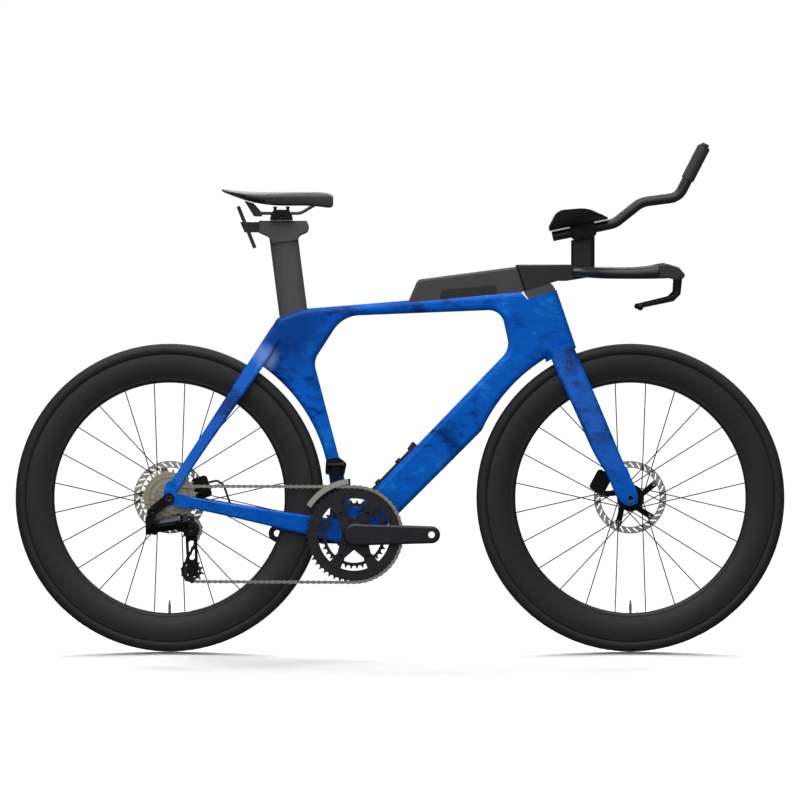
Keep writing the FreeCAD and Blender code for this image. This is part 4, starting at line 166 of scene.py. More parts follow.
def paint_over_carbon(settings):
    """Blue lacquer with clouds, sprayed on moulded carbon under a polished clear coat: deep colour, sharp gloss. A
    darker cloud at the seat cluster is partly painted shade, and a pale patch at the seat stay root is a painted
    highlight.
    """
    material, tree, shader, place = start_material(
        "clouded_blue_lacquer", {"IOR": 1.5, "Specular IOR Level": 0.06, "Coat Weight": 0.16, "Coat Roughness": 0.1,
                                 "Coat IOR": 1.5})
    cloud = add(tree, "ShaderNodeTexNoise",
                {"Scale": 1 / settings.cloud, "Detail": 7.0, "Roughness": 0.62, "Distortion": 0.8}, {"Vector": place})
    streak_place = add(tree, "ShaderNodeMapping", {"Scale": (1.0, 1.0, 2.6)}, {"Vector": place})
    streak = add(tree, "ShaderNodeTexNoise",
                 {"Scale": per_metre(60), "Detail": 5.0, "Roughness": 0.7, "Distortion": 1.4},
                 {"Vector": streak_place.outputs["Vector"]})
    most = add(tree, "ShaderNodeMath", {1: 0.65}, {0: cloud.outputs["Fac"]}, operation="MULTIPLY")
    mixed = add(tree, "ShaderNodeMath", {1: 0.35}, {0: streak.outputs["Fac"], 2: most.outputs[0]},
                operation="MULTIPLY_ADD")
    shade = add(tree, "ShaderNodeValToRGB", links={"Fac": mixed.outputs[0]})
    stops(shade, (0.4, settings.deep), (0.49, settings.blue), (0.55, settings.blue), (0.65, settings.light))
    paint = shade.outputs["Color"]
    # Painted light and shade: a darker patch at the seat cluster, partly cloud and partly painted shade, and a pale
    # painted highlight at the seat stay root.
    for (spot, near, far, share), tone in ((SEAT_CLUSTER_CLOUD_AND_SHADE, settings.deep), (PAINTED_HIGHLIGHT_PATCH, settings.painted_highlight)):
        away = add(tree, "ShaderNodeVectorMath", {1: spot}, {0: place}, operation="DISTANCE")
        fade = add(tree, "ShaderNodeMapRange", {"From Min": near, "From Max": far, "To Min": share, "To Max": 0.0},
                   {"Value": away.outputs["Value"]}, interpolation_type="SMOOTHSTEP")
        paint = add(tree, "ShaderNodeMix", {7: (*tone, 1)}, {0: fade.outputs["Result"], 6: paint},
                    data_type="RGBA").outputs[2]
    tree.links.new(paint, shader.inputs["Base Color"])
    # Pigment grains of about half a millimetre, drawn at 3 mm so that they show.
    grain = add(tree, "ShaderNodeTexNoise", {"Scale": per_metre(3), "Detail": 2.0}, {"Vector": place})
    rough = add(tree, "ShaderNodeMapRange", {"To Min": 0.34, "To Max": 0.46}, {"Value": grain.outputs["Fac"]})
    tree.links.new(rough.outputs["Result"], shader.inputs["Roughness"])
    return material


def matte_carbon(name, shade, roughness, along=(0.12, 1.0, 1.0)):
    """Carbon laid up in a mould under a matte clear coat: dark, with faint fibre streaks and a broad soft sheen."""
    material, tree, shader, place = start_material(name, {"IOR": 1.5, "Specular IOR Level": 0.45})
    long = add(tree, "ShaderNodeMapping", {"Scale": along}, {"Vector": place})
    # Fibre bundles are near 1 mm across, drawn at 5 mm so that they show.
    fibre = add(tree, "ShaderNodeTexNoise", {"Scale": per_metre(5), "Detail": 3.0},
                {"Vector": long.outputs["Vector"]})
    tone = add(tree, "ShaderNodeValToRGB", links={"Fac": fibre.outputs["Fac"]})
    stops(tone, (0.35, [c * 0.92 for c in shade]), (0.65, [c * 1.08 for c in shade]))
    tree.links.new(tone.outputs["Color"], shader.inputs["Base Color"])
    rough = add(tree, "ShaderNodeMapRange", {"To Min": roughness - 0.06, "To Max": roughness + 0.06},
                {"Value": fibre.outputs["Fac"]})
    tree.links.new(rough.outputs["Result"], shader.inputs["Roughness"])
    return material


def moulded_plastic(name, shade, roughness):
    """Nylon moulded against a spark-eroded tool: an even matte grain that breaks the highlights up."""
    material, tree, shader, place = start_material(name, {"Base Color": (*shade, 1), "IOR": 1.5})
    grain = add(tree, "ShaderNodeTexNoise", {"Scale": per_metre(1.6), "Detail": 2.0}, {"Vector": place})
    bump = add(tree, "ShaderNodeBump", {"Strength": 0.25, "Distance": 0.0002}, {"Height": grain.outputs["Fac"]})
    tree.links.new(bump.outputs["Normal"], shader.inputs["Normal"])
    rough = add(tree, "ShaderNodeMapRange", {"To Min": roughness - 0.08, "To Max": roughness + 0.08},
                {"Value": grain.outputs["Fac"]})
    tree.links.new(rough.outputs["Result"], shader.inputs["Roughness"])
    return material


def wheel_radius(tree, place, axle):
    """The distance of a point from the wheel's axle line, as a node output."""
    away = add(tree, "ShaderNodeVectorMath", {1: (axle.x, axle.y, axle.z)}, {0: place}, operation="SUBTRACT")
    flat = add(tree, "ShaderNodeVectorMath", {1: (1, 0, 1)}, {0: away.outputs["Vector"]}, operation="MULTIPLY")
    return add(tree, "ShaderNodeVectorMath", links={0: flat.outputs["Vector"]}, operation="LENGTH").outputs["Value"]


def tyre_rubber(name, shade, axle):
    """Vulcanised rubber from a turned mould: dull black, with fine rings round the side walls and a worn-in tread."""
    material, tree, shader, place = start_material(name, {"IOR": 1.52, "Specular IOR Level": 0.4})
    radius = wheel_radius(tree, place, axle)
    # Mould rings are under 1 mm apart, drawn at 3.5 mm so that they show.
    turn = add(tree, "ShaderNodeMath", {1: 2 * math.pi * per_metre(3.5)}, {0: radius}, operation="MULTIPLY")
    ring = add(tree, "ShaderNodeMath", links={0: turn.outputs[0]}, operation="SINE")
    dust = add(tree, "ShaderNodeTexNoise", {"Scale": per_metre(7), "Detail": 4.0}, {"Vector": place})
    tone = add(tree, "ShaderNodeValToRGB", links={"Fac": dust.outputs["Fac"]})
    stops(tone, (0.3, [c * 0.85 for c in shade]), (0.7, [c * 1.25 for c in shade]))
    tree.links.new(tone.outputs["Color"], shader.inputs["Base Color"])
    height = add(tree, "ShaderNodeMath", {1: 0.5}, {0: ring.outputs[0], 2: dust.outputs["Fac"]},
                 operation="MULTIPLY_ADD")
    bump = add(tree, "ShaderNodeBump", {"Strength": 0.3, "Distance": 0.0003}, {"Height": height.outputs[0]})
    tree.links.new(bump.outputs["Normal"], shader.inputs["Normal"])
    rough = add(tree, "ShaderNodeMapRange", {"To Min": 0.55, "To Max": 0.75}, {"Value": dust.outputs["Fac"]})
    tree.links.new(rough.outputs["Result"], shader.inputs["Roughness"])
    return material


def metal(name, shade, roughness, grain_mm, along=(1.0, 1.0, 1.0)):
    """Machined or stamped metal: the tool's fine lines spread each highlight one way."""
    material, tree, shader, place = start_material(name, {"Metallic": 1.0})
    way = add(tree, "ShaderNodeMapping", {"Scale": along}, {"Vector": place})
    lines = add(tree, "ShaderNodeTexNoise", {"Scale": per_metre(grain_mm), "Detail": 4.0},
                {"Vector": way.outputs["Vector"]})
    tone = add(tree, "ShaderNodeValToRGB", links={"Fac": lines.outputs["Fac"]})
    stops(tone, (0.3, [c * 0.9 for c in shade]), (0.7, [min(1, c * 1.08) for c in shade]))
    tree.links.new(tone.outputs["Color"], shader.inputs["Base Color"])
    rough = add(tree, "ShaderNodeMapRange", {"To Min": roughness - 0.08, "To Max": roughness + 0.08},
                {"Value": lines.outputs["Fac"]})
    tree.links.new(rough.outputs["Result"], shader.inputs["Roughness"])
    return material


def ground_steel_and_shade_rings(name, shade, axle, line_mm, depth):
    """Steel ground flat while it turned: rings round the axle that catch the light. Drawn strong at a cassette's cog
    spacing, the rings are painted shade between the cogs instead.
    """
    material, tree, shader, place = start_material(name, {"Metallic": 1.0})
    radius = wheel_radius(tree, place, axle)
    rings = add(tree, "ShaderNodeCombineXYZ", links={"X": radius})
    # Grinding lines are finer than a tenth of a millimetre, drawn a few millimetres apart so that they show. On the
    # cassette the rings are painted shade between the cogs.
    lines = add(tree, "ShaderNodeTexNoise", {"Scale": per_metre(line_mm), "Detail": 3.0},
                {"Vector": rings.outputs["Vector"]})
    tone = add(tree, "ShaderNodeValToRGB", links={"Fac": lines.outputs["Fac"]})
    stops(tone, (0.3, [c * (1 - depth) for c in shade]), (0.7, [min(1, c * (1 + depth)) for c in shade]))
    tree.links.new(tone.outputs["Color"], shader.inputs["Base Color"])
    rough = add(tree, "ShaderNodeMapRange", {"To Min": 0.22, "To Max": 0.4}, {"Value": lines.outputs["Fac"]})
    tree.links.new(rough.outputs["Result"], shader.inputs["Roughness"])
    return material


def stretched_cover(name, shade):
    """Synthetic leather stretched over foam: a fine pebbled grain with a soft sheen along the edges."""
    material, tree, shader, place = start_material(
        name, {"IOR": 1.48, "Sheen Weight": 0.15, "Sheen Roughness": 0.5})
    # Grain pebbles are about 0.6 mm across, drawn at 2 mm so that they show.
    pebble = add(tree, "ShaderNodeTexVoronoi", {"Scale": per_metre(2)}, {"Vector": place})
    tone = add(tree, "ShaderNodeValToRGB", links={"Fac": pebble.outputs["Distance"]})
    stops(tone, (0.1, [c * 1.2 for c in shade]), (0.8, [c * 0.75 for c in shade]))
    tree.links.new(tone.outputs["Color"], shader.inputs["Base Color"])
    bump = add(tree, "ShaderNodeBump", {"Strength": 0.35, "Distance": 0.0004}, {"Height": pebble.outputs["Distance"]})
    tree.links.new(bump.outputs["Normal"], shader.inputs["Normal"])
    rough = add(tree, "ShaderNodeMapRange", {"To Min": 0.34, "To Max": 0.5}, {"Value": pebble.outputs["Distance"]})
    tree.links.new(rough.outputs["Result"], shader.inputs["Roughness"])
    return material


def knit_foam(name, shade):
    """Closed-cell foam with a knitted face: a dull weave of loops that takes a soft edge light."""
    material, tree, shader, place = start_material(name, {"IOR": 1.4, "Sheen Weight": 0.3, "Sheen Roughness": 0.6})
    # Knit loops are about 1 mm apart, drawn at 2.4 mm so that they show.
    rows, cols = (add(tree, "ShaderNodeTexWave", {"Scale": per_metre(2.4) / 6.28, "Distortion": 1.0, "Detail": 1.0},
                      {"Vector": place}, bands_direction=way) for way in "XY")
    loops = add(tree, "ShaderNodeMath", links={0: rows.outputs["Fac"], 1: cols.outputs["Fac"]}, operation="MULTIPLY")
    tone = add(tree, "ShaderNodeValToRGB", links={"Fac": loops.outputs[0]})
    stops(tone, (0.0, [c * 0.7 for c in shade]), (0.9, [c * 1.3 for c in shade]))
    tree.links.new(tone.outputs["Color"], shader.inputs["Base Color"])
    bump = add(tree, "ShaderNodeBump", {"Strength": 0.4, "Distance": 0.0005}, {"Height": loops.outputs[0]})
    tree.links.new(bump.outputs["Normal"], shader.inputs["Normal"])
    rough = add(tree, "ShaderNodeMapRange", {"To Min": 0.7, "To Max": 0.9}, {"Value": loops.outputs[0]})
    tree.links.new(rough.outputs["Result"], shader.inputs["Roughness"])
    return material


def finish_node(name, material, other=None, is_other=None):
    """Gives a CAD node its material, and a second one to the faces that pass a test."""
    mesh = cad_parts[name].data
    mesh.materials.clear()
    mesh.materials.append(material)
    if other:
        mesh.materials.append(other)
    for face in mesh.polygons:
        face.material_index = 1 if other and is_other(face) else 0


def off_axis(point, axle):
    return math.hypot(point.x - axle.x, point.z - axle.z)


def new_piece(name, body, slot, vertices, faces, materials, smooth=2):
    """A closed mesh piece in the row frame that rides on a body, smoothed by subdivision."""
    mesh = bpy.data.meshes.new(name)
    mesh.from_pydata(vertices, [], faces)
    build = bmesh.new()
    build.from_mesh(mesh)
    bmesh.ops.recalc_face_normals(build, faces=build.faces)
    build.to_mesh(mesh)
    build.free()
    for material in materials:
        mesh.materials.append(material)
    for face in mesh.polygons:
        face.use_smooth = True
    piece = bpy.data.objects.new(name, mesh)
    bpy.context.scene.collection.objects.link(piece)
    if smooth:
        rounding = piece.modifiers.new("rounding", "SUBSURF")
        rounding.levels = smooth
        rounding.render_levels = smooth
    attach(piece, body)
    return piece


def skin(rings):
    """Vertices and faces of a closed skin through rings of points, with a cap at each end."""
    count = len(rings[0])
    vertices = [point for ring in rings for point in ring]
    faces = []
    for row in range(len(rings) - 1):
        for i in range(count):
            j = (i + 1) % count
            faces.append((row * count + i, row * count + j, (row + 1) * count + j, (row + 1) * count + i))
    faces.append(tuple(reversed(range(count))))
    faces.append(tuple(range((len(rings) - 1) * count, len(rings) * count)))
    return vertices, faces


def joined(rings_of_each):
    """One set of vertices and faces from the closed skins of several small pieces."""
    vertices, faces = [], []
    for rings in rings_of_each:
        more, more_faces = skin(rings)
        faces += [tuple(i + len(vertices) for i in face) for face in more_faces]
        vertices += more
    return vertices, faces


class BIKE_OT_frame_paint(bpy.types.Operator):
    """Paints the frame and the fork"""
    bl_idname = "bike.frame_paint"
    bl_label = "Frame paint"

    def execute(self, context):
        paint = paint_over_carbon(context.scene.bike_paint)
        for name in ("frame", "fork"):
            finish_node(name, paint)
        return {"FINISHED"}


class BIKE_OT_carbon(bpy.types.Operator):
    """Finishes the rims, bars, cups, seatpost and plastic trim"""
    bl_idname = "bike.carbon"
    bl_label = "Carbon and plastic"

    def execute(self, context):
        trim = context.scene.bike_trim
        carbon = matte_carbon("matte_black_carbon", trim.carbon, 0.45)
        for name in ("base_bar", "extensions", "armrest_cups", "front_rim", "rear_rim"):
            finish_node(name, carbon)
        finish_node("riser", matte_carbon("satin_black_carbon", linear("#0D0D0E"), 0.35))
        grey = matte_carbon("matte_grey_carbon", trim.post, 0.5, (1.0, 1.0, 0.12))
        for name in ("seatpost", "headset_cover", "seat_clamp_wedge"):
            finish_node(name, grey)
        finish_node("top_tube_box", moulded_plastic("moulded_grey_nylon", trim.box, 0.5))
        dark = moulded_plastic("moulded_black_nylon", linear("#19191A"), 0.55)
        for name in ("top_tube_box_base", "bottle_rail", "number_holder", "left_shift_button", "right_shift_button",
                     "guide_pulley", "tension_pulley"):
            finish_node(name, dark)
        return {"FINISHED"}


class BIKE_OT_rubber(bpy.types.Operator):
    """Finishes the tyres with their valves, the grips, the lever hoods and the hose"""
    bl_idname = "bike.rubber"
    bl_label = "Rubber"

    def execute(self, context):
        shade = context.scene.bike_trim.rubber
        valve = metal("turned_brass_nickel", linear("#A9A59C"), 0.3, 3)
        for end, axle in (("front", FRONT_AXLE), ("rear", REAR_AXLE)):
            rubber = tyre_rubber(end + "_vulcanised_rubber", shade, axle)
            finish_node(end + "_tyre", rubber, valve, lambda face: off_axis(face.center, axle) < VALVE_TOP)
        grip = moulded_plastic("moulded_grip_rubber", linear("#2A2A2B"), 0.65)
        for name in ("extension_grips", "lever_brackets", "rear_brake_hose"):
            finish_node(name, grip)
        return {"FINISHED"}


class BIKE_OT_metal(bpy.types.Operator):
    """Finishes the drivetrain, the brakes, the hubs and the small metal pieces"""
    bl_idname = "bike.metal"
    bl_label = "Metal"

    def execute(self, context):
        trim = context.scene.bike_trim
        steel = metal("stamped_nickel_steel", trim.steel, 0.32, 2)
        for name in ("front_thru_axle", "rear_thru_axle", "frame_bearings"):
            finish_node(name, steel)
        oil_and_shade = metal("dark_steel_oil_and_shade", linear("#2E2C2A"), 0.45, 2)
        links = metal("rolled_chain_steel", linear("#ADA9A2"), 0.36, 2)
        pulleys = middle("rear_derailleur_cage")
        # Link and tooth edges take the dark oiled steel, and the whole chain round the pulleys takes it as painted
        # shadow.
        finish_node("chain", links, oil_and_shade, lambda face: abs(face.normal.y) < FLAT_SIDE
                    or (face.center.x < pulleys.x + SHADE_AHEAD and face.center.z < pulleys.z + SHADE_ABOVE))
        # The cassette's rings, drawn strong at its cogs' 4.2 mm spacing, are painted shade between the cogs.
        finish_node("cassette", ground_steel_and_shade_rings("plated_cog_steel_shade_rings", trim.cog, REAR_AXLE, 4.2, 0.5), oil_and_shade,
                    lambda face: abs(face.normal.y) < FLAT_SIDE)
        strut = moulded_plastic("moulded_saddle_strut", linear("#1C1C1D"), 0.5)
        finish_node("saddle_rails", metal("drawn_dark_steel", linear("#4A4949"), 0.35, 1, (0.1, 1.0, 1.0)), strut,
                    lambda face: face.center.x < SADDLE_STRUT_END
                    or (face.center.x < SADDLE_STRUT_END + SADDLE_STRUT_SHARED
                        and abs(abs(face.center.y) - RAIL_SPREAD) > RAIL_RADIUS))
        black = metal("black_anodised_aluminium", linear("#232325"), 0.42, 4)
        finish_node("rear_derailleur_outer_link", metal("satin_grey_aluminium", linear("#4C4C50"), 0.38, 4))
        for name in ("extension_clamp", "saddle_clamp", "front_hub", "rear_hub", "front_brake_caliper",
                     "rear_brake_caliper", "derailleur_hanger", "rear_derailleur_bracket",
                     "rear_derailleur_inner_link", "rear_derailleur_knuckle", "rear_derailleur_cage",
                     "front_derailleur_body", "left_brake_lever", "right_brake_lever"):
            finish_node(name, black)
        finish_node("front_derailleur_cage", steel, black,
                    lambda face: face.center.z > CAGE_TOP or face.center.y > CAGE_SIDE)
        graphite = metal("graphite_anodised_aluminium", trim.graphite, 0.36, 5, (0.2, 1.0, 1.0))
        for name in ("right_crank_arm", "left_crank_arm", "outer_chainring", "inner_chainring"):
            finish_node(name, graphite)
        wire = metal("drawn_black_wire", linear("#1E1E1F"), 0.4, 1)
        compound = moulded_plastic("pressed_brake_compound", linear("#3A332D"), 0.8)
        for end, axle in (("front", FRONT_AXLE), ("rear", REAR_AXLE)):
            finish_node(end + "_spokes", wire)
            finish_node(end + "_rotor", ground_steel_and_shade_rings(end + "_ground_stainless", trim.steel, axle, 1.6, 0.18), black,
                        lambda face: off_axis(face.center, axle) < ROTOR_CARRIER)
            for side in ("inner", "outer"):
                finish_node(f"{end}_{side}_brake_pad", compound)
        return {"FINISHED"}


# Along the saddle in millimetres: place, top, bottom, half width, drop to the edge, share of the channel.
SADDLE_RINGS = ((-136, 70.0, 66.0, 30.0, 2.0, 0.0), (-130, 70.0, 61.5, 44.0, 2.5, 0.0),
                (-118, 68.5, 57.0, 58.0, 4.0, 0.2), (-84, 65.5, 44.0, 66.0, 7.0, 0.7),
                (-40, 64.5, 34.0, 56.0, 9.0, 1.0), (10, 65.0, 32.0, 36.0, 8.0, 1.0),
                (56, 65.0, 33.5, 27.0, 7.0, 0.8), (88, 64.0, 29.5, 24.5, 6.5, 0.3),
                (101, 61.0, 27.5, 21.5, 5.5, 0.0), (108, 57.5, 29.5, 17.0, 5.0, 0.0),
                (110.5, 54.0, 34.0, 11.0, 4.0, 0.0))
# The origin of the rings, back and down from the nose end and the top of the saddle.
SADDLE_BACK, SADDLE_DOWN = 0.110, 0.070
# Subdivision draws the rings in, so they are made this much wider.
SADDLE_WIDER = 1.075
# Faces that point down more than this belong to the saddle's hard base.
SADDLE_UNDERSIDE = -0.6


class BIKE_OT_saddle(bpy.types.Operator):
    """Builds the padded saddle with its channel and its hard base"""
    bl_idname = "bike.saddle"
    bl_label = "Saddle"

    def execute(self, context):
        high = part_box("saddle")[1]
        origin = Vector((high.x - SADDLE_BACK, 0.0, high.z - SADDLE_DOWN))
        channel = context.scene.bike_soft.channel * 1000
        rings = []
        for dx, top, bottom, half, drop, share in SADDLE_RINGS:
            dip = channel * share
            level = top - drop
            side = [(0.0, top - dip), (0.20 * half, top - dip * 0.6), (0.50 * half, top - 0.22 * drop),
                    (0.82 * half, top - 0.62 * drop), (0.99 * half, level - 0.10 * (level - bottom)),
                    (0.93 * half, level - 0.50 * (level - bottom)), (0.78 * half, bottom + 0.06 * (level - bottom)),
                    (0.40 * half, bottom), (0.0, bottom)]
            ring = side + [(-y, z) for y, z in reversed(side[1:-1])]
            rings.append([origin + Vector((dx, y * SADDLE_WIDER, z)) / 1000 for y, z in ring])
        vertices, faces = skin(rings)
        cover = stretched_cover("stretched_saddle_cover", linear("#444445"))
        base = matte_carbon("moulded_saddle_shell", linear("#141415"), 0.3)
        piece = new_piece("saddle_padding", "saddle", "saddle_cover", vertices, faces, [cover, base])
        for face in piece.data.polygons:
            if face.normal.z < SADDLE_UNDERSIDE:
                face.material_index = 1
        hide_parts("saddle")
        return {"FINISHED"}


CUP_TILT = math.radians(11.7)
CUP_UP = Vector((-math.sin(CUP_TILT), 0, math.cos(CUP_TILT)))
# The cups are parts of a tube: its axis above the extensions' centre line, and its distance from the bike's middle.
CUP_AXIS_UP, CUP_SPREAD = 0.0645, 0.074
# The pads line the cups: their two radii, the points across each face, how far their rims are drawn together, and how
# far below the extension clamp's middle they are measured from.
PAD_OUTER, PAD_INNER = 0.0485, 0.0402
PAD_POINTS, PAD_RIM_DRAWN, PAD_FOOT_DOWN = 13, 0.25, 0.001
# Along the forearm in millimetres: place and height of the pad's edge above the extension's centre line.
PAD_EDGE = ((-66, 21.5), (-63, 26.0), (-56, 35.0), (-46, 43.5), (-34, 46.0), (-14, 44.0), (6, 40.5), (22, 35.5),
            (36, 27.5), (46, 21.0), (52, 17.5))


class BIKE_OT_armrest_pads(bpy.types.Operator):
    """Builds the foam pads in the two armrest cups"""
    bl_idname = "bike.armrest_pads"
    bl_label = "Armrest pads"

    def execute(self, context):
        along = Vector((math.cos(CUP_TILT), 0, math.sin(CUP_TILT)))
        foot = middle("extension_clamp") - CUP_UP * PAD_FOOT_DOWN
        foot.y = 0
        foam = knit_foam("knit_faced_foam", linear("#212122"))
        drawn = context.scene.bike_soft.pad_edge
        pads = []
        for side in (-1, 1):
            rings = []
            for number, (place, edge) in enumerate(PAD_EDGE):
                at_end = number in (0, len(PAD_EDGE) - 1)
                inner = PAD_INNER + (drawn if at_end else 0)
                reach = math.acos((CUP_AXIS_UP - edge / 1000) / PAD_OUTER)
                turns = [reach * (2 * i / (PAD_POINTS - 1) - 1) for i in range(PAD_POINTS)]
                ring = []
                for radius, row in ((PAD_OUTER, turns), (inner, list(reversed(turns)))):
                    for turn in row:
                        kept = radius if abs(turn) < reach - 1e-6 else radius + (PAD_OUTER - radius) * PAD_RIM_DRAWN
                        lift = CUP_AXIS_UP - kept * math.cos(turn)
                        ring.append(foot + along * (place / 1000) + CUP_UP * lift
                                    + Vector((0, side * CUP_SPREAD + kept * math.sin(turn), 0)))
                rings.append(ring)
            pads.append(rings)
        piece = new_piece("armrest_foam_pads", "fork", "armrest_foam", *joined(pads), [foam])
        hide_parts("armrest_pads")
        return {"FINISHED"}


HEAD_POINTS, GAP_SHADE_POINTS = 24, 36
# How deep a bolt head is sunk into what carries it, in metres.
HEAD_SUNK = 0.0005


def round_turns(count):
    return [math.radians(360 / count * i) for i in range(count)]


def bolt_head(at, way, radius, height):
    """Rings of a bolt head with a hexagon socket that stands on a point, a little sunk into it."""
    across = way.orthogonal().normalized()
    side = way.cross(across)
    turns = round_turns(HEAD_POINTS)
    hexagon = [0.5 * radius / math.cos(turn % math.radians(60) - math.radians(30)) for turn in turns]
    edge = min(0.3 * radius, 0.45 * height)
    rows = [([reach] * HEAD_POINTS, lift) for reach, lift in (
        (radius, -HEAD_SUNK), (radius, height - edge), (radius - edge * 0.4, height - edge * 0.3),
        (radius - edge, height))]
    rows += [(hexagon, height), (hexagon, height * 0.3)]
    return [[at + way * lift + across * (r * math.cos(turn)) + side * (r * math.sin(turn))
             for r, turn in zip(reach, turns)] for reach, lift in rows]


def gap_shade_sheet(at, way, ahead, fore, wide, thickness):
    """Rings of a thin oval dark sheet of painted shade, shaped like a washer, from its lower face to its upper one, by
    its half length and half width.
    """
    across = way.cross(ahead)
    return [[at + way * lift + ahead * (reach * fore * math.cos(turn)) + across * (reach * wide * math.sin(turn))
             for turn in round_turns(GAP_SHADE_POINTS)]
            for reach, lift in ((0.97, 0), (1, thickness * 0.25), (1, thickness * 0.75), (0.97, thickness))]


RIGHT, LEFT, UP = Vector((0, -1, 0)), Vector((0, 1, 0)), Vector((0, 0, 1))
# Faces on which heads stand: left crank, rear dropout, front dropout, and the top of the extension clamp.
CRANK_FACE, REAR_DROPOUT_FACE, FRONT_DROPOUT_FACE = 67.0, -84.0, -60.0
CLAMP_TOP = Vector((402.3, 0, 928.0)) + CUP_UP * 19.0
# Bolts with a fixed place: name, body, head radius, head height, then each one's place and direction, in millimetres.
PLACED_BOLTS = (
    ("hanger_bolt", "frame", 7.5, 1.8, [((-543.0, -96.3, 311.0), RIGHT)]),
    ("rear_axle_socket", "frame", 5.6, 0.8, [((REAR_AXLE.x * 1000, REAR_DROPOUT_FACE, REAR_AXLE.z * 1000), RIGHT)]),
    ("front_axle_socket", "fork", 5.6, 0.8, [((FRONT_AXLE.x * 1000, FRONT_DROPOUT_FACE, FRONT_AXLE.z * 1000), RIGHT)]),
    ("rear_caliper_bolts", "frame", 4.0, 2.0, [((-422.7, 72.7, 347.0), LEFT), ((-432.6, 72.7, 379.5), LEFT)]),
    ("front_caliper_bolts", "fork", 4.0, 2.0, [((441.7, 56.6, 393.0), LEFT), ((425.7, 56.6, 363.0), LEFT)]),
    ("saddle_clamp_nuts", "saddle", 5.0, 2.0, [((-274.8, 0, 977.6), UP), ((-246.8, 0, 977.6), UP)]),
    ("saddle_clamp_bolts", "saddle", 6.0, 2.2, [((-261.0, -31.0, 958.0), RIGHT), ((-261.0, 31.0, 958.0), LEFT)]),
    ("number_holder_bolt", "seatpost", 3.6, 2.0, [((-341.3, 0, 932.6), Vector((-0.928, 0, -0.373)))]),
    ("seat_wedge_bolt", "frame", 3.4, 1.6, [((-197.5, 0, 751.0), UP)]),
    ("extension_clamp_bolts", "fork", 4.4, 2.6, [(CLAMP_TOP + LEFT * side, CUP_UP) for side in (-14, 14)]),
    ("lever_pivot_screws", "fork", 3.2, 0.9, [((611.2, -216.0, 826.0), RIGHT), ((611.2, 216.0, 826.0), LEFT)]),
    ("front_derailleur_screw", "frame", 3.4, 1.2, [((-141.0, -36.0, 421.0), RIGHT)]))
# The middles of the rear derailleur's two pairs of link pins, the pairs' half spread and the pins' half length.
LINK_MIDDLES = {"derailleur_knuckle": (-485.0, -79.8, 286.5), "frame": (-538.8, -72.0, 278.1)}
LINK_SLANT, LINK_HALF, PIN_HALF = math.radians(47), 8.0, 12.3
# The chainring bolts: their circle, their angles and the outer face that they stand on.
RING_BOLT_RADIUS, RING_BOLT_ANGLES, RING_FACE = 55.0, (58, 122, 238, 302), -51.5
# From a pulley's middle to the cage's outer plate, and from the guide pulley's to the knuckle's outer end.
CAGE_PLATE_OUT, KNUCKLE_OUT = 6.2, 27.7


def bolt_groups():
    """Groups of like bolts: name, body, head radius, head height, places and directions, in millimetres."""
    pin = Vector((0, math.sin(LINK_SLANT), math.cos(LINK_SLANT)))
    inward = Vector((0, math.cos(LINK_SLANT), -math.sin(LINK_SLANT)))
    crank = CRANK_AXIS * 1000
    tension, guide = middle("tension_pulley") * 1000, middle("guide_pulley") * 1000
    cage_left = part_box("rear_derailleur_cage")[1].y * 1000
    groups = []
    for body, pins in LINK_MIDDLES.items():
        ends = [(Vector(pins) + inward * (LINK_HALF * s) + pin * (PIN_HALF * e), pin * e)
                for s in (-1, 1) for e in (-1, 1)]
        groups.append((body + "_link_pins", body, 2.6, 0.7, ends))
    ring_bolts = []
    for turn in (math.radians(angle) for angle in RING_BOLT_ANGLES):
        x, z = crank.x + RING_BOLT_RADIUS * math.cos(turn), crank.z + RING_BOLT_RADIUS * math.sin(turn)
        ring_bolts.append(((x, RING_FACE, z), RIGHT))
    groups += [
        ("chainring_bolts", "crankset", 4.4, 0.8, ring_bolts),
        ("crank_cap", "crankset", 10.8, 2.4, [((crank.x, CRANK_FACE, crank.z), LEFT)]),
        ("pulley_bolts", "derailleur_cage", 4.2, 1.6, [
            ((tension.x, cage_left, tension.z), LEFT), ((guide.x, cage_left, guide.z), LEFT),
            ((tension.x, tension.y - CAGE_PLATE_OUT, tension.z), RIGHT)]),
        ("cage_pivot_cap", "derailleur_knuckle", 8.0, 1.4, [((guide.x, guide.y - KNUCKLE_OUT, guide.z), RIGHT)])]
    return groups + list(PLACED_BOLTS)


# Rotor rivets: their circle, the first one's angle, their number, and from the rotor's middle to their foot.
RIVET_CIRCLE, RIVET_START, RIVETS, RIVET_FOOT = 0.0595, 101, 5, 0.0016
RIVET_RADIUS, RIVET_HEIGHT = 0.0042, 0.0009


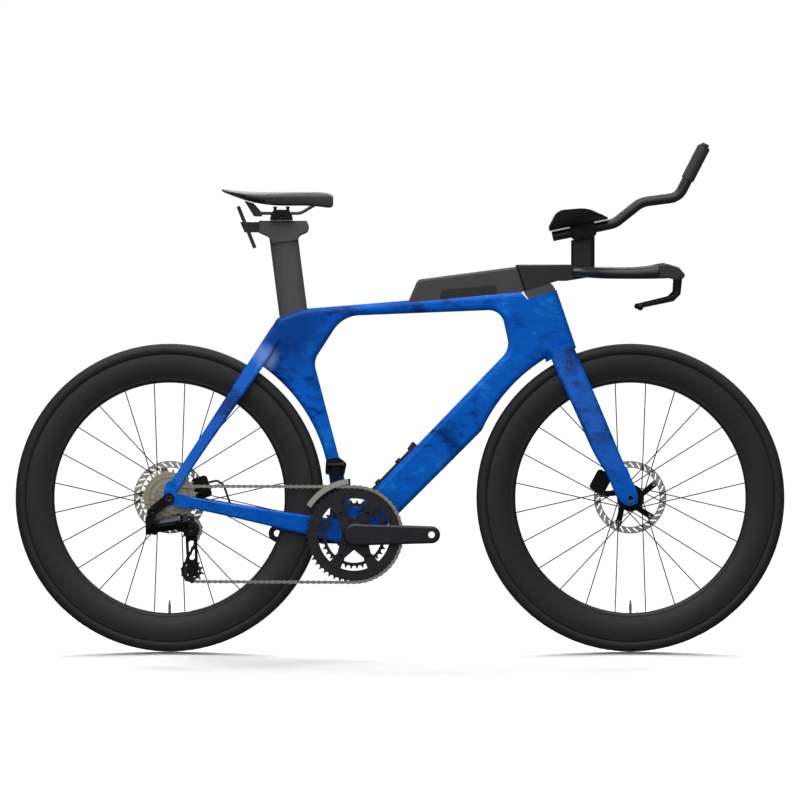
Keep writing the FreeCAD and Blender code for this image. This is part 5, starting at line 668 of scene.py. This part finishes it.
class BIKE_OT_bolts(bpy.types.Operator):
    """Adds the bolt heads, pin ends and rotor rivets"""
    bl_idname = "bike.bolts"
    bl_label = "Bolts"

    def execute(self, context):
        oxide = metal("black_oxide_steel", linear("#2B2B2D"), 0.34, 2)
        for name, body, radius, height, places in bolt_groups():
            heads = [bolt_head(Vector(at) / 1000, way.normalized(), radius / 1000, height / 1000) for at, way in places]
            new_piece(name, body, "black_anodised", *joined(heads), [oxide], smooth=0)
        nickel = metal("turned_nickel_rivet", linear("#A8A6A2"), 0.3, 2)
        for end, axle in (("front", FRONT_AXLE), ("rear", REAR_AXLE)):
            across = middle(end + "_rotor").y
            rivets = []
            for number in range(RIVETS):
                turn = math.radians(RIVET_START + 360 / RIVETS * number)
                x, z = axle.x + RIVET_CIRCLE * math.cos(turn), axle.z + RIVET_CIRCLE * math.sin(turn)
                for way in (RIGHT, LEFT):
                    foot = Vector((x, across, z)) + way * RIVET_FOOT
                    rivets.append(bolt_head(foot, way, RIVET_RADIUS, RIVET_HEIGHT))
            new_piece(end + "_rotor_rivets", end + "_wheel", "rotor_steel", *joined(rivets), [nickel], smooth=0)
        return {"FINISHED"}


HEAD_ANGLE = math.radians(72.5)
STEERER_FOOT = Vector((0.4641, 0, 0.3255))
# Each dark sheet of painted shade in a gap: height along the steerer, set back from it, half length, half width.
GAP_SHADE_SHEETS = ((0.36776, 0.006, 0.0355, 0.014), (0.50306, 0.009, 0.0325, 0.014))
GAP_SHADE_THICKNESS = 0.00018


class BIKE_OT_gap_shade(bpy.types.Operator):
    """Adds thin dark sheets of painted shade in the gaps under the head tube and under the stem"""
    bl_idname = "bike.seals"
    bl_label = "Gap shade"

    def execute(self, context):
        # These dark sheets close the gaps as painted shade, so that the bright backdrop does not show through them.
        shade_black = moulded_plastic("gap_shade_black", linear("#141415"), 0.7)
        way = Vector((-math.cos(HEAD_ANGLE), 0, math.sin(HEAD_ANGLE)))
        ahead = Vector((math.sin(HEAD_ANGLE), 0, math.cos(HEAD_ANGLE)))
        sheets = [gap_shade_sheet(STEERER_FOOT + way * height - ahead * back, way, ahead, fore, wide, GAP_SHADE_THICKNESS)
                 for height, back, fore, wide in GAP_SHADE_SHEETS]
        new_piece("steering_gap_shade_sheets", "fork", "grip_rubber", *joined(sheets), [shade_black], smooth=0)
        return {"FINISHED"}


# The lit room stands outside the camera's path, so it is white from every side, and the floor lies on its ground.
ROOM_RADIUS, ROOM_GROUND, ROOM_HEIGHT, ROOM_SIDES = 40.0, -0.02, 20.0, 48
FLOOR = [(-16, -32, 0), (16, -32, 0), (16, 3, 0), (-16, 3, 0)]
# The floor's own light comes low from behind, so that the tyres' shadows show at a flat angle.
FLOOR_SUN_ENERGY, FLOOR_SUN_ANGLE, FLOOR_SUN_TURN = 10.8, math.radians(34), math.radians(-73)
# Each softbox: place, width and depth, power in watts. They all face a point half a metre up.
SOFTBOXES = {"top_softbox": ((0.0, -0.6, 3.6), (4.5, 1.6), 90.0), "high_softbox": ((-0.6, -3.4, 4.2), (4.0, 2.0), 80.0),
             "front_softbox": ((-1.0, -5.0, 2.4), (4.0, 2.6), 60.0), "back_strip": ((0.0, 2.2, 2.6), (4.0, 0.5), 40.0),
             "rear_softbox": ((1.0, 5.0, 2.4), (4.0, 2.6), 60.0)}
LIT_POINT = Vector((0, 0, 0.5))
PAPER_WHITE, ROOM_GLOW, ROOM_LIGHT = 0.85, 1.02, 0.18
# The picture is 1.76 m wide at the bike, with its middle this high, seen from far away and a little above.
PICTURE_WIDTH, PICTURE_MIDDLE, CAMERA_AWAY, CAMERA_UP, SENSOR_MM = 1.76, 0.554, 30.0, 1.0, 36.0


def add_softbox(scene, name, at, size, power):
    light = bpy.data.lights.new(name, "AREA")
    light.shape = "RECTANGLE"
    light.size, light.size_y = size
    light.energy = power
    lamp = bpy.data.objects.new(name, light)
    lamp.location = at
    lamp.rotation_euler = (LIT_POINT - Vector(at)).to_track_quat("-Z", "Y").to_euler()
    scene.collection.objects.link(lamp)
    return lamp


class BIKE_OT_stage(bpy.types.Operator):
    """Sets the pale floor, the soft lights and the camera"""
    bl_idname = "bike.stage"
    bl_label = "Stage"

    def execute(self, context):
        scene = context.scene
        # A plain sRGB view keeps the white of the paper and the depth of the blue.
        scene.view_settings.view_transform = "Standard"
        paper = start_material("matte_white_paper", {"Base Color": (*[PAPER_WHITE] * 3, 1), "Roughness": 0.95})[0]
        glow = start_material("lit_white_paper", {"Base Color": (0, 0, 0, 1), "Emission Color": (1, 1, 1, 1),
                                                  "Emission Strength": ROOM_GLOW})[0]
        lit = bpy.data.collections.new("floor_only")
        ring = [(ROOM_RADIUS * math.cos(turn), ROOM_RADIUS * math.sin(turn)) for turn in round_turns(ROOM_SIDES)]
        room = [(*at, level) for level in (ROOM_GROUND, ROOM_HEIGHT) for at in ring]
        after = [(k + 1) % ROOM_SIDES for k in range(ROOM_SIDES)]
        sides = [(k, j, ROOM_SIDES + j, ROOM_SIDES + k) for k, j in enumerate(after)]
        for name, material, corners, faces in (("floor", paper, FLOOR, [(0, 1, 2, 3)]),
                                               ("backdrop", glow, room, [tuple(range(ROOM_SIDES))] + sides)):
            mesh = bpy.data.meshes.new(name)
            mesh.from_pydata(corners, [], faces)
            mesh.materials.append(material)
            sheet = bpy.data.objects.new(name, mesh)
            scene.collection.objects.link(sheet)
            sheet.visible_diffuse = False
            sheet.visible_glossy = False
            sheet.visible_shadow = name == "floor"
            if name == "floor":
                lit.objects.link(sheet)
        sun = bpy.data.lights.new("floor_sky", "SUN")
        sun.energy = FLOOR_SUN_ENERGY
        sun.angle = FLOOR_SUN_ANGLE
        sky = bpy.data.objects.new("floor_sky", sun)
        sky.location = (0, 4, 6)
        sky.rotation_euler = (FLOOR_SUN_TURN, 0, 0)
        scene.collection.objects.link(sky)
        sky.light_linking.receiver_collection = lit
        world = bpy.data.worlds.new("soft_white_room")
        world.use_nodes = True
        background = world.node_tree.nodes["Background"]
        background.inputs["Color"].default_value = (1, 1, 1, 1)
        background.inputs["Strength"].default_value = ROOM_LIGHT
        scene.world = world
        dressed = bpy.data.collections.new("all_but_floor")
        dressed.objects.link(bpy.data.objects["floor"])
        dressed.collection_objects[0].light_linking.link_state = "EXCLUDE"
        for name, (at, size, power) in SOFTBOXES.items():
            add_softbox(scene, name, at, size, power).light_linking.receiver_collection = dressed
        lens = bpy.data.cameras.new("long_lens")
        lens.sensor_width = SENSOR_MM
        lens.lens = SENSOR_MM * CAMERA_AWAY / PICTURE_WIDTH
        lens.clip_end = 100.0
        camera = bpy.data.objects.new("camera", lens)
        camera.location = (0.0, -CAMERA_AWAY, CAMERA_UP)
        camera.rotation_euler = (math.atan2(CAMERA_AWAY, CAMERA_UP - PICTURE_MIDDLE), 0, 0)
        scene.collection.objects.link(camera)
        scene.camera = camera
        return {"FINISHED"}


class BIKE_PT_pieces(bpy.types.Panel):
    """Lists the pieces of the bike"""
    bl_idname = "BIKE_PT_pieces"
    bl_label = "Time trial bike"
    bl_space_type = "VIEW_3D"
    bl_region_type = "UI"
    bl_category = "Bike"

    def draw(self, context):
        for group in ("bike_paint", "bike_trim", "bike_soft"):
            settings = getattr(context.scene, group)
            for name in settings.__annotations__:
                self.layout.prop(settings, name)
        for made in OPERATORS:
            self.layout.operator(made.bl_idname)


SETTINGS = {"bike_paint": BikePaintSettings, "bike_trim": BikeTrimSettings, "bike_soft": BikeSoftSettings}
OPERATORS = (BIKE_OT_frame_paint, BIKE_OT_carbon, BIKE_OT_rubber, BIKE_OT_metal, BIKE_OT_saddle, BIKE_OT_armrest_pads,
             BIKE_OT_bolts, BIKE_OT_gap_shade, BIKE_OT_stage)


def register():
    for name, group in SETTINGS.items():
        bpy.utils.register_class(group)
        setattr(bpy.types.Scene, name, PointerProperty(type=group))
    for made in (*OPERATORS, BIKE_PT_pieces):
        bpy.utils.register_class(made)


def unregister():
    for made in (BIKE_PT_pieces, *reversed(OPERATORS)):
        bpy.utils.unregister_class(made)
    for name, group in SETTINGS.items():
        delattr(bpy.types.Scene, name)
        bpy.utils.unregister_class(group)


def main():
    register()
    for made in OPERATORS:
        group, name = made.bl_idname.split(".")
        getattr(getattr(bpy.ops, group), name)()


if __name__ == "__main__":
    main()
